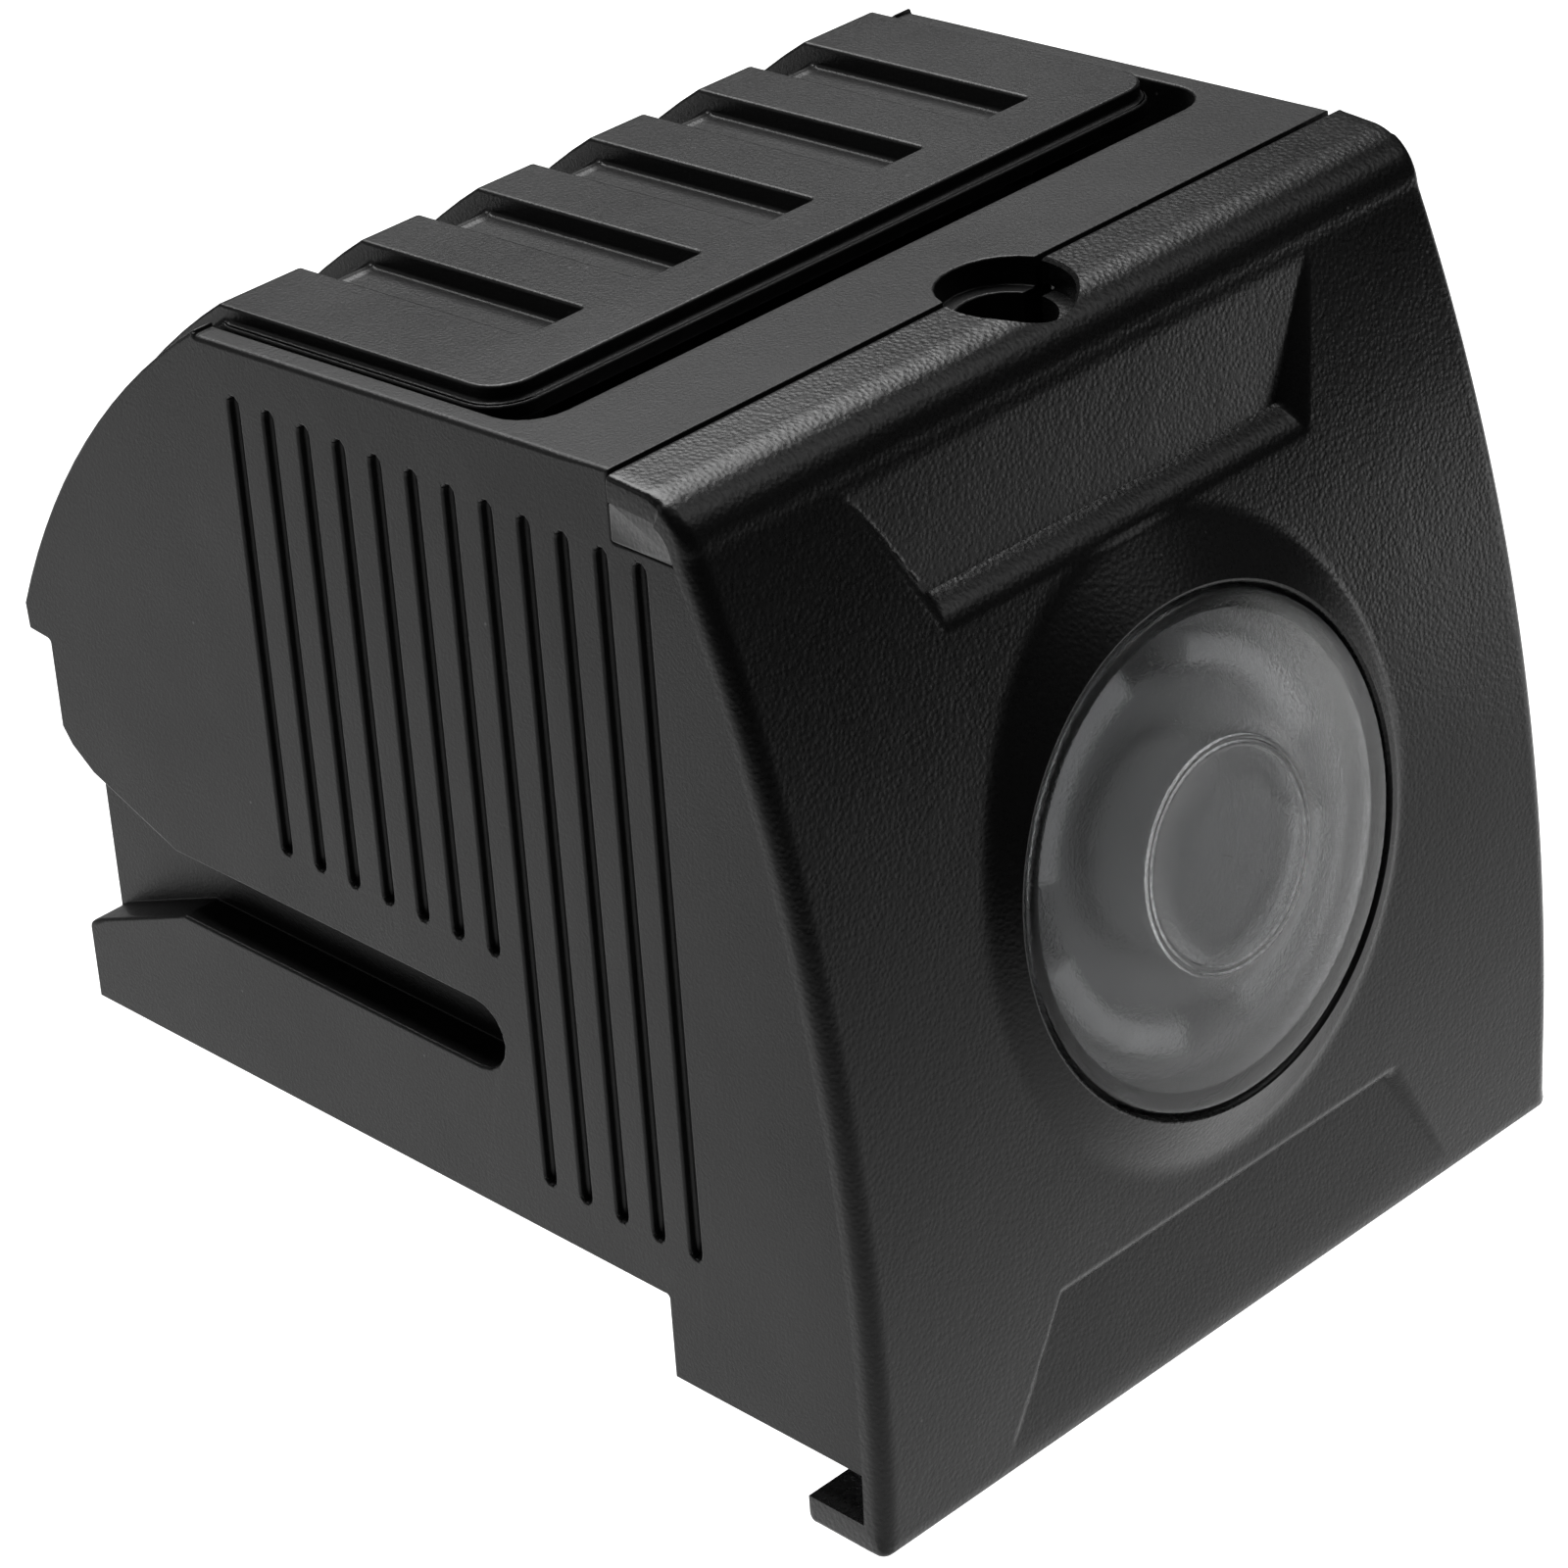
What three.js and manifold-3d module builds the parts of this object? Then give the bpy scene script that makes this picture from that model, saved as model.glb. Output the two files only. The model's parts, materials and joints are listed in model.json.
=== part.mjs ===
// A slide-on light module: a black moulded housing that slides on to a pair of base rails,
// a curved front cover with a round lens, and a sprung release slider in the top and back.
// Millimetres. +Z is up, the lens looks along -Y, X runs across. Heights and depths below are
// measured from the underside of the hook lip and from the bottom front edge; the last group
// moves them so that the origin is the centre of the seat face.
import * as THREE from "three";
import { ConvexGeometry } from "three/addons/geometries/ConvexGeometry.js";
import { mergeVertices } from "three/addons/utils/BufferGeometryUtils.js";
import Module from "manifold-3d";

const wasm = await Module();
wasm.setup();

// ---- driving dimensions -------------------------------------------------------------------
const BODY_HALF = 34; // half width of the housing
const COVER_HALF = 34.7; // half width of the front cover, which stands a little proud
const WALL = 2.2; // housing wall
const COVER_SKIN = 1.8; // front cover wall
const GAP = 0.3; // clearance between touching pieces
const SEAT_Y = 40; // centre of the seat face, from the bottom front edge
const SEAT_Z = 11.85; // seat face above the lip's underside
const STEP_Z = 5.3; // underside of the front step
const STEP_Y = 19.5; // riser between the step and the seat face
const REAR_Y = 78.2; // rear wall
const SEAM_Y = 18.2; // rear edge of the cover, along the top
const SEAM = 0.45; // width of the seam slit
const TOP_Z = 72.75; // top height at the seam
const TOP_FALL = 0.0574; // fall of the top towards the back, mm per mm
const TAB_Z = 67.9; // lower edge of the cover's side tabs
const BACK = { y: 21.2, z: 17.1, r: 64.9 }; // arc of the top back corner
const BACK_TOP_Y = 57.5; // where the flat top meets that arc
const TIP = { y: 80.4, z: 43.4, foot: 41.1 }; // rear tip of the side walls
const OPENING = { half: 32.2, y: 27.4, r: 3.2 }; // U-shaped opening for the slider
const SLOT = { depth: 3, low: 23, high: 28.2, y: 33.6, flare: 66.8 }; // side guide slots
const GROOVE = { count: 12, longCount: 5, pitch: 3.43, last: 54.2, width: 1.05, depth: 0.7 };
const GROOVE_Z = { top: 67.1, low: 32.6, longLow: 16 };
const LIP = { y: 6.7, top: 2.2 }; // hook lip under the front
const HOLE = { y: 17.3, r: 3.4, mouthR: 4.55, mouthDepth: 2.1, tubeR: 6, low: 64.5 };
const TRAVEL = 3; // stroke of the slider, and of the latch bolt
const SLIDER = { half: 31.4, y: 31, proud: 0.9, skin: 2.4, lip: 0.5, low: 42 };
const POCKET = { count: 5, pitch: 10.55, width: 5.2, y: 36.8, depth: 1.7 };
const TRAY = { low: 61.5, high: 63.5, front: 28, back: 57, half: 31.5 };
const BOLT = { y: 57.2, thick: 2.6, half: 11, low: 8.9, top: 55 };
const RAMP = 13; // the 45 degree ramp lies on z = y - RAMP
const FLOOR = { half: 28.5, y0: 19.8, y1: 75.7, thick: 2 };
const LENS = { z: 36.65, r: 17.4, flangeR: 20.2, rim: -1.2, ringR: 7.7 };
const SHOULDER = { top: -1.1, topR: 18, foot: 1.6, footR: 22.4 }; // raised cone around the lens
const GUIDE = { inner: 12, outer: 14, from: 13, sweep: 64 }; // ring light arcs, angles in degrees
const BOARD_TOP = 20.9; // underside of the parts on the driver board
const POLE_X = 12.5; // the two poles of the rear contact block

const topAt = (y) => TOP_Z - TOP_FALL * (y - SEAM_Y);
// Depth of the front face at a height: upright at the bottom, leaning back towards the top.
const FACE = { lean: -0.0417, bow: 0.002224, curl: 0.00001 };
const faceAt = (z) => FACE.lean * z + FACE.bow * z ** 2 + FACE.curl * z ** 3;
const faceSlope = (z) => FACE.lean + 2 * FACE.bow * z + 3 * FACE.curl * z ** 2;

// ---- materials ----------------------------------------------------------------------------
const finish = (color, roughness, metalness = 0) =>
  new THREE.MeshStandardMaterial({ color, roughness, metalness });
const moulded = () => finish(0x1b1b1c, 0.6);
const clear = () => {
  const look = { color: 0xd8dcdf, roughness: 0.35, transparent: true, opacity: 0.4 };
  return new THREE.MeshStandardMaterial(look);
};
const rubber = () => finish(0x101010, 0.85);
const steel = () => finish(0x9a9c9f, 0.35, 1);
const aluminium = () => finish(0xb4b7ba, 0.4, 1);
const brass = () => finish(0xb89a55, 0.35, 1);
const laminate = () => finish(0x1f4a33, 0.5);
const translucent = () => finish(0xc9cccd, 0.5);

// ---- geometry helpers ---------------------------------------------------------------------
function solid(geometry) {
  const bare = geometry.clone();
  bare.deleteAttribute("normal");
  bare.deleteAttribute("uv");
  const merged = mergeVertices(bare, 1e-4);
  const vertProperties = new Float32Array(merged.attributes.position.array);
  const triVerts = new Uint32Array(merged.index.array);
  return new wasm.Manifold(new wasm.Mesh({ numProp: 3, vertProperties, triVerts }));
}

function geometryOf(manifold) {
  const found = manifold.getMesh();
  const geometry = new THREE.BufferGeometry();
  geometry.setAttribute("position", new THREE.BufferAttribute(found.vertProperties, 3));
  geometry.setIndex(new THREE.BufferAttribute(found.triVerts, 1));
  return geometry;
}

const shapeOf = (points) => new THREE.Shape(points.map(([a, b]) => new THREE.Vector2(a, b)));
const extrude = (points, depth) =>
  new THREE.ExtrudeGeometry(shapeOf(points), { depth, bevelEnabled: false });

function block(x0, x1, y0, y1, z0, z1) {
  const box = new THREE.BoxGeometry(x1 - x0, y1 - y0, z1 - z0);
  return solid(box.translate((x0 + x1) / 2, (y0 + y1) / 2, (z0 + z1) / 2));
}

// An outline of [y, z] points, carried across from x0 to x1.
function sideSlab(points, x0, x1) {
  const turn = new THREE.Matrix4().set(0, 0, 1, x0, 1, 0, 0, 0, 0, 1, 0, 0, 0, 0, 0, 1);
  return solid(extrude(points, x1 - x0).applyMatrix4(turn));
}

// An outline of [x, y] points, carried up from z0 to z1.
const planSlab = (points, z0, z1) => solid(extrude(points, z1 - z0).translate(0, 0, z0));

// A turned solid about the Y axis, from a closed profile of [radius, y] points.
function turned(points, sides = 32) {
  const profile = points.map(([r, y]) => new THREE.Vector2(r, y));
  if (THREE.ShapeUtils.area(profile) < 0) {
    profile.reverse();
  }
  return solid(new THREE.LatheGeometry([...profile, profile[0]], sides));
}

const post = (r, x, y, z0, z1, sides = 14) => {
  const cylinder = new THREE.CylinderGeometry(r, r, z1 - z0, sides);
  return solid(cylinder.rotateX(Math.PI / 2).translate(x, y, (z0 + z1) / 2));
};

const peg = (r, x, z, y0, y1, sides = 14) => {
  const cylinder = new THREE.CylinderGeometry(r, r, y1 - y0, sides);
  return solid(cylinder.translate(x, (y0 + y1) / 2, z));
};

function arcPoints(centreA, centreB, r, from, to, steps) {
  const points = [];
  for (let i = 0; i <= steps; i += 1) {
    const angle = from + ((to - from) * i) / steps;
    points.push([centreA + r * Math.cos(angle), centreB + r * Math.sin(angle)]);
  }
  return points;
}

const addAll = (first, others) => others.reduce((sum, next) => sum.add(next), first);
const cutAll = (first, others) => others.reduce((rest, next) => rest.subtract(next), first);
const bothSides = (make) => [make(-1), make(1)];

// A slab between x = side * from and x = side * to, on the left (-1) or the right (1).
const cheek = (points, side, from, to) =>
  sideSlab(points, Math.min(side * from, side * to), Math.max(side * from, side * to));
const sideBlock = (side, from, to, y0, y1, z0, z1) =>
  block(Math.min(side * from, side * to), Math.max(side * from, side * to), y0, y1, z0, z1);

function part(name, shape, material) {
  const mesh = new THREE.Mesh(shape.isBufferGeometry ? shape : geometryOf(shape), material);
  mesh.name = name;
  return mesh;
}

// The front face as [y, z] points between two heights, set back by an offset.
function faceCurve(z0, z1, setBack, steps) {
  const points = [];
  for (let i = 0; i <= steps; i += 1) {
    const z = z0 + ((z1 - z0) * i) / steps;
    points.push([faceAt(z) + setBack, z]);
  }
  return points;
}

// The arc of the top back corner, raised by an offset, from a low height to a depth y.
function backCurve(raise, lowZ, topY, steps) {
  const r = BACK.r + raise;
  const from = Math.asin((lowZ - BACK.z) / r);
  const to = Math.acos((topY - BACK.y) / r);
  return arcPoints(BACK.y, BACK.z, r, from, to, steps);
}

// ---- housing ------------------------------------------------------------------------------
function housingOutline() {
  const front = COVER_SKIN + GAP;
  return [
    [faceAt(STEP_Z) + front, STEP_Z],
    [STEP_Y, STEP_Z],
    [STEP_Y, SEAT_Z],
    [REAR_Y, SEAT_Z],
    [REAR_Y, TIP.foot],
    [TIP.y, TIP.foot + 0.2],
    ...backCurve(0, TIP.z, BACK_TOP_Y, 14),
    [BACK_TOP_Y, topAt(BACK_TOP_Y)],
    [SEAM_Y + SEAM, topAt(SEAM_Y)],
    [SEAM_Y + SEAM, TAB_Z],
    ...faceCurve(TAB_Z, STEP_Z + 3, front, 16),
  ];
}

function housingCavity() {
  const half = BODY_HALF - WALL;
  const lowHalf = BODY_HALF - SLOT.depth - WALL;
  const rear = REAR_Y - WALL;
  const split = SLOT.high + 4.8;
  const floor = STEP_Z + WALL;
  const riserTop = SEAT_Z + FLOOR.thick;
  const low = [
    [-5, floor],
    [STEP_Y - WALL, floor],
    [STEP_Y - WALL, riserTop],
    [STEP_Y, riserTop],
    [STEP_Y, SEAT_Z - 2],
    [rear, SEAT_Z - 2],
    [rear, split + 0.1],
    [-5, split + 0.1],
  ];
  const high = [
    [-5, split],
    [rear, split],
    ...backCurve(-WALL, 47.6, BACK_TOP_Y - 1, 6),
    [SEAM_Y, topAt(SEAM_Y) - WALL],
    [-5, topAt(SEAM_Y) - WALL],
  ];
  return sideSlab(low, -lowHalf, lowHalf).add(sideSlab(high, -half, half));
}

function roundedFront(half, y0, y1, r) {
  return [
    ...arcPoints(-half + r, y0 + r, r, Math.PI, 1.5 * Math.PI, 6),
    ...arcPoints(half - r, y0 + r, r, 1.5 * Math.PI, 2 * Math.PI, 6),
    [half, y1],
    [-half, y1],
  ];
}

function slotOutline() {
  const middle = (SLOT.low + SLOT.high) / 2;
  const r = (SLOT.high - SLOT.low) / 2;
  return [
    ...arcPoints(SLOT.y + r, middle, r, Math.PI / 2, 1.5 * Math.PI, 8),
    [SLOT.flare, SLOT.low],
    [77.2, 18.7],
    [82, 16],
    [82, 36],
    [REAR_Y, 34.3],
    [77.3, 33],
    [75.3, 31.5],
    [SLOT.flare, SLOT.high],
  ];
}

function grooveCutters(side) {
  const cutters = [];
  const r = GROOVE.width / 2;
  for (let i = 0; i < GROOVE.count; i += 1) {
    const y = GROOVE.last - i * GROOVE.pitch;
    const low = i < GROOVE.count - GROOVE.longCount ? GROOVE_Z.low : GROOVE_Z.longLow;
    const outline = [
      ...arcPoints(y, low + r, r, Math.PI, 2 * Math.PI, 4),
      ...arcPoints(y, GROOVE_Z.top - r, r, 0, Math.PI, 4),
    ];
    cutters.push(cheek(outline, side, BODY_HALF - GROOVE.depth, BODY_HALF + 1));
  }
  return cutters;
}

const seamTube = () => post(HOLE.tubeR, 0, HOLE.y, HOLE.low, TOP_Z - 1.6, 24);
const seamBore = () =>
  post(HOLE.r, 0, HOLE.y, HOLE.low - 1, TOP_Z + 2, 24).add(
    post(HOLE.mouthR, 0, HOLE.y, TOP_Z - HOLE.mouthDepth, TOP_Z + 2, 24),
  );

const FLOOR_SCREWS = [[-25, 25], [25, 25], [-25, 71], [25, 71]];
const COVER_SCREWS = [[-25, 9], [25, 9]];
const TRAY_SCREWS = [[-29.4, 42.9], [29.4, 42.9]];

function floorScrewBoss([x, y]) {
  const side = Math.sign(x);
  const boss = post(3.2, x, y, SEAT_Z + FLOOR.thick + GAP, 24);
  const web = sideBlock(side, Math.abs(x), 30, y - 1.6, y + 1.6, SEAT_Z + FLOOR.thick + GAP, 24);
  return boss.add(web).subtract(post(1.4, x, y, SEAT_Z, 21));
}

const stepScrewPad = ([x, y]) => post(3.6, x, y, STEP_Z + 0.2, 9.5);
const stepScrewHole = ([x, y]) =>
  post(2.6, x, y, STEP_Z - 1, STEP_Z + 2).add(post(1.4, x, y, STEP_Z, 10));

function trayLedge(side) {
  const ledge = sideBlock(side, 29.5, 33, TRAY.front, TRAY.back, TRAY.low - 2.3, TRAY.low - GAP);
  const pad = sideBlock(side, 27.4, 33, 40.8, 45, TRAY.low - 4.5, TRAY.low - GAP);
  return ledge.add(pad).subtract(post(1.2, side * 29.4, 42.9, TRAY.low - 6, TRAY.low));
}

function mainHousing() {
  const opening = roundedFront(OPENING.half, OPENING.y, 95, OPENING.r);
  const shell = cutAll(sideSlab(housingOutline(), -BODY_HALF, BODY_HALF), [
    housingCavity(),
    planSlab(opening, TIP.foot, 95),
    ...bothSides((side) => cheek(slotOutline(), side, BODY_HALF - SLOT.depth, BODY_HALF + 2)),
    ...grooveCutters(-1),
    ...grooveCutters(1),
    block(-16.3, 16.3, REAR_Y - 4, REAR_Y + 2, 15.7, 31.3),
  ]);
  const rearHalf = block(-8, 8, SEAM_Y + SEAM, 30, 60, 80);
  const full = addAll(shell, [
    seamTube().intersect(rearHalf),
    ...FLOOR_SCREWS.map(floorScrewBoss),
    ...COVER_SCREWS.map(stepScrewPad),
    ...bothSides(trayLedge),
  ]);
  const housing = cutAll(full, [seamBore(), ...COVER_SCREWS.map(stepScrewHole)]);
  return part("main_housing", housing, moulded());
}

// ---- front cover --------------------------------------------------------------------------
const TOP_CORNER = { y: 15.2, z: 68.4, r: 4.2 }; // rounding between the front face and the top

function coverOutline() {
  const top = topAt(SEAM_Y);
  const inner = TOP_CORNER.r - COVER_SKIN;
  const lowest = TOP_CORNER.z - 2;
  return [
    [LIP.y, 0.5],
    [LIP.y - 0.5, 0],
    [0.3, 0],
    ...faceCurve(0.3, lowest, 0, 20),
    ...arcPoints(TOP_CORNER.y, TOP_CORNER.z, TOP_CORNER.r, 0.93 * Math.PI, Math.PI / 2, 6),
    [SEAM_Y, top],
    [SEAM_Y, top - COVER_SKIN - 0.2],
    ...arcPoints(TOP_CORNER.y, TOP_CORNER.z, inner, Math.PI / 2, 0.93 * Math.PI, 4),
    ...faceCurve(lowest, LIP.top + 1.5, COVER_SKIN, 16),
    [faceAt(LIP.top) + COVER_SKIN, LIP.top],
    [LIP.y, LIP.top],
  ];
}

// The tab behind the top corner, on each side: it fills the housing's notch.
function coverTab(side) {
  const outline = [
    [faceAt(TAB_Z) + 1, TAB_Z + GAP],
    [SEAM_Y, TAB_Z + GAP],
    [SEAM_Y, topAt(SEAM_Y) - 0.5],
    [TOP_CORNER.y - 1, topAt(SEAM_Y) - 0.5],
  ];
  return cheek(outline, side, BODY_HALF - WALL, COVER_HALF);
}

// A shallow pocket in the front face: full depth along the ledge, running out at the far edge.
function facePocket({ ledgeZ, ledgeHalf, floorZ, floorHalf, farZ, farHalf, depth }) {
  const inFront = 1.5;
  const corners = [
    [ledgeHalf, 0, ledgeZ],
    [floorHalf, depth, floorZ],
    [farHalf, 0, farZ],
  ];
  const points = [];
  for (const [half, setBack, z] of corners) {
    for (const x of [-half, half]) {
      points.push(new THREE.Vector3(x, faceAt(z) + setBack, z));
      points.push(new THREE.Vector3(x, faceAt(z) - inFront, z));
    }
  }
  return solid(new ConvexGeometry(points));
}

const UPPER_POCKET = {
  ledgeZ: 58.5, ledgeHalf: 17.4, floorZ: 60.5, floorHalf: 16, farZ: 68.4, farHalf: 22, depth: 1.4,
};
const LOWER_POCKET = {
  ledgeZ: 12, ledgeHalf: 17, floorZ: 11.1, floorHalf: 16.6, farZ: 1.8, farHalf: 22.6, depth: 0.75,
};

function coverTongue(side) {
  const under = topAt(SEAM_Y + 3.4) - WALL - GAP;
  const tongue = sideBlock(side, 12, 22, 15.5, SEAM_Y + 3.4, under - 1.8, under);
  return tongue.add(sideBlock(side, 12, 22, 15.5, SEAM_Y - 0.1, under - 1, under + 1));
}

function coverScrewBoss([x, y]) {
  const side = Math.sign(x);
  const boss = sideBlock(side, 21.6, 28.4, faceAt(12) + 1, y + 3.4, 9.5 + GAP, 18);
  return boss.subtract(post(1.4, x, y, 9, 16.6));
}

const tilt = Math.atan(faceSlope(LENS.z));

// Moves a solid made about the Y axis to the lens centre, square to the front face.
const atLens = (shape) =>
  shape.rotate([(-tilt * 180) / Math.PI, 0, 0]).translate([0, faceAt(LENS.z), LENS.z]);

const CORNERS = [[-18, -18], [18, -18], [-18, 18], [18, 18]];

// Everything behind a surface set back inside the cover's skin: it keeps the inner bosses
// from breaking through the curved face and the top corner.
function behindFace() {
  const { y, z, r } = TOP_CORNER;
  const outline = [
    ...faceCurve(-2, z - 2, COVER_SKIN / 2, 16),
    ...arcPoints(y, z, r - COVER_SKIN / 2, 0.93 * Math.PI, Math.PI / 2, 6),
    [40, z + r - COVER_SKIN / 2],
    [40, -2],
  ];
  return sideSlab(outline, -40, 40);
}

// A thicker patch of skin behind the upper pocket.
function pocketBacking() {
  const outline = [...faceCurve(57.2, 66, 1, 4), ...faceCurve(57.2, 66, 2.9, 4).reverse()];
  return sideSlab(outline, -22, 22);
}

function frontCover() {
  const skin = sideSlab(coverOutline(), -COVER_HALF, COVER_HALF);
  const seat = turned([[LENS.r + GAP, 0.9], [20.4, 0.9], [20.4, 3], [LENS.r + GAP, 3]], 40);
  const hidden = LENS.r - 0.2;
  const { top, topR, foot, footR } = SHOULDER;
  const shoulder = turned([[hidden, foot], [hidden, top], [topR, top], [footR, foot]], 48);
  const frontHalf = block(-8, 8, 5, SEAM_Y, 60, 80);
  const lensFixings = addAll(atLens(seat), CORNERS.map(([x, z]) => atLens(peg(2.6, x, z, 0.5, 11.6))));
  const full = addAll(skin, [
    ...bothSides(coverTab),
    ...bothSides(coverTongue),
    ...COVER_SCREWS.map(coverScrewBoss),
    seamTube().intersect(frontHalf).intersect(behindFace()),
    lensFixings.intersect(behindFace()),
    atLens(shoulder),
    pocketBacking(),
  ]);
  const cover = cutAll(full, [
    atLens(peg(LENS.r + GAP, 0, 0, -6, 4, 40)),
    ...CORNERS.map(([x, z]) => atLens(peg(1.3, x, z, 4, 13))),
    facePocket(UPPER_POCKET),
    facePocket(LOWER_POCKET),
    seamBore(),
  ]);
  return part("front_cover", cover, moulded());
}

// ---- bottom plate -------------------------------------------------------------------------
const BOARD_POSTS = [[-22, 33], [22, 33], [-22, 50], [22, 50]];

const BOLT_WAY = { half: BOLT.half + 0.4, y0: BOLT.y - GAP, y1: BOLT.y + BOLT.thick + GAP };

function guideTower(side) {
  const tower = sideBlock(side, 10, 13.6, BOLT.y - 2.5, BOLT.y + 5.1, SEAT_Z + 1, 40);
  return tower.subtract(sideBlock(side, 9, BOLT_WAY.half, BOLT_WAY.y0, BOLT_WAY.y1, 0, 50));
}

function bottomPlate() {
  const top = SEAT_Z + FLOOR.thick;
  const plate = block(-FLOOR.half, FLOOR.half, FLOOR.y0, FLOOR.y1, SEAT_Z, top);
  const full = addAll(plate, [
    ...bothSides(guideTower),
    ...BOARD_POSTS.map(([x, y]) => post(2.4, x, y, SEAT_Z + 1, 18.7)),
  ]);
  const window = block(-BOLT_WAY.half, BOLT_WAY.half, BOLT_WAY.y0, BOLT_WAY.y1, 0, top + 1);
  const screwHole = ([x, y]) => post(1.4, x, y, 0, 20).add(post(2.6, x, y, 0, SEAT_Z + 1.2));
  const cut = cutAll(full, [
    window,
    ...FLOOR_SCREWS.map(screwHole),
    ...BOARD_POSTS.map(([x, y]) => post(1, x, y, 15, 20)),
  ]);
  return part("bottom_plate", cut, moulded());
}

// ---- release slider -----------------------------------------------------------------------
// A slab that follows the top and the back corner, between two offsets from the housing's surface.
function followingOutline(low, high, y0, lowZ) {
  const topY = (raise) => BACK_TOP_Y + 0.56 * raise;
  return [
    [y0, topAt(y0) + low],
    [y0, topAt(y0) + high],
    [topY(high), topAt(topY(high)) + high],
    ...backCurve(high, lowZ, topY(high) + 0.4, 14).reverse(),
    ...backCurve(low, lowZ, topY(low) + 0.4, 14),
    [topY(low), topAt(topY(low)) + low],
  ];
}

function sliderLeg(side, y0) {
  const under = topAt(y0) + SLIDER.proud - SLIDER.skin + 0.6;
  const leg = sideBlock(side, 25, 27, y0, y0 + 4, TRAY.low - 1.8, under);
  return leg.add(sideBlock(side, 25, 28.2, y0, y0 + 4, TRAY.low - 1.8, TRAY.low - GAP));
}

function sliderSpringLug(side) {
  const lug = sideBlock(side, 17.5, 22.5, 56.3, 58, 64.3, 69.8);
  return lug.add(peg(1.1, side * 20, 66.5, 54, 56.5));
}

// The arm that carries the ramp under the latch bolt.
function rampArm(side) {
  const outline = [
    [63.2, 63.2 - RAMP],
    [70.6, 70.6 - RAMP],
    [72.5, 57],
    [77.6, 48.5],
    [76.5, 46],
    [64.5, 46],
    [63.2, 48],
  ];
  return cheek(outline, side, 6.5, 9.5);
}

function releaseSlider() {
  const plateau = sideSlab(
    followingOutline(SLIDER.proud - SLIDER.skin, SLIDER.proud, SLIDER.y, SLIDER.low),
    -SLIDER.half + SLIDER.lip,
    SLIDER.half - SLIDER.lip,
  ).intersect(planSlab(roundedFront(SLIDER.half - SLIDER.lip, SLIDER.y + SLIDER.lip, 95, 2.7), 0, 95));
  const flange = sideSlab(
    followingOutline(SLIDER.proud - SLIDER.skin, -0.3, SLIDER.y, SLIDER.low),
    -SLIDER.half,
    SLIDER.half,
  ).intersect(planSlab(roundedFront(SLIDER.half, SLIDER.y, 95, 3.2), 0, 95));
  const full = addAll(plateau, [
    flange,
    ...bothSides((side) => sliderLeg(side, 34)),
    ...bothSides((side) => sliderLeg(side, 50)),
    ...bothSides(sliderSpringLug),
    ...bothSides(rampArm),
  ]);
  const floor = SLIDER.proud - POCKET.depth;
  const cutter = followingOutline(floor, SLIDER.proud + 2, POCKET.y, SLIDER.low - 4);
  const pockets = [];
  for (let i = 0; i < POCKET.count; i += 1) {
    const x = (i - (POCKET.count - 1) / 2) * POCKET.pitch;
    pockets.push(sideSlab(cutter, x - POCKET.width / 2, x + POCKET.width / 2));
  }
  return part("release_slider", cutAll(full, pockets), moulded());
}

function guideTray() {
  const plate = block(-TRAY.half, TRAY.half, TRAY.front, TRAY.back, TRAY.low, TRAY.high);
  const lug = (side) => {
    const stand = sideBlock(side, 17.5, 22.5, 42, 43.7, TRAY.high - 0.5, 68.5);
    return stand.add(peg(1.1, side * 20, 66.5, 43.5, 46));
  };
  const slot = (side, y0) =>
    sideBlock(side, 24.7, 27.3, y0 - TRAVEL - GAP, y0 + 4 + GAP, TRAY.low - 1, TRAY.high + 1);
  const cut = cutAll(addAll(plate, bothSides(lug)), [
    ...bothSides((side) => slot(side, 34)),
    ...bothSides((side) => slot(side, 50)),
    ...TRAY_SCREWS.map(([x, y]) => post(1.2, x, y, TRAY.low - 1, TRAY.high + 1)),
  ]);
  return part("guide_tray", cut, finish(0x2a2b2d, 0.55));
}

function latchBolt() {
  const back = BOLT.y + BOLT.thick;
  const stem = [
    [BOLT.y, BOLT.low],
    [BOLT.y + 0.8, BOLT.low],
    [back, BOLT.low + 2.2],
    [back, BOLT.top],
    [BOLT.y, BOLT.top],
  ];
  const clearance = RAMP - GAP * Math.SQRT2;
  const follower = [
    [back - 0.1, back - 0.1 - clearance],
    [65, 65 - clearance],
    [65, BOLT.top],
    [back - 0.1, BOLT.top],
  ];
  const shape = addAll(sideSlab(stem, -BOLT.half, BOLT.half), [
    sideSlab(follower, -BOLT.half, BOLT.half),
    block(-4, 4, 49.5, BOLT.y + 0.1, 48.2, 50),
    post(1.4, 0, 52.8, 49.9, 52),
  ]);
  return part("latch_bolt", shape, steel());
}

// ---- springs ------------------------------------------------------------------------------
function coil(name, coilR, wireR, length, turns) {
  const points = [];
  const steps = turns * 8;
  for (let i = 0; i <= steps; i += 1) {
    const angle = (i / steps) * turns * 2 * Math.PI;
    const along = wireR + ((length - 2 * wireR) * i) / steps;
    points.push(new THREE.Vector3(coilR * Math.cos(angle), coilR * Math.sin(angle), along));
  }
  const wire = arcPoints(0, 0, wireR, 0, 1.6 * Math.PI, 4);
  const path = new THREE.CatmullRomCurve3(points);
  const geometry = new THREE.ExtrudeGeometry(shapeOf(wire), {
    steps,
    extrudePath: path,
    bevelEnabled: false,
  });
  return part(name, solid(geometry), steel());
}

function sliderSpring(name, side) {
  const spring = coil(name, 1.9, 0.3, 11.9, 7);
  spring.rotation.x = -Math.PI / 2;
  spring.position.set(side * 20, 44.1, 66.5);
  return spring;
}

function boltSpring() {
  const spring = coil("bolt_spring", 2.2, 0.32, 10.7, 6);
  spring.position.set(0, 52.8, 50.4);
  return spring;
}

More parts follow.
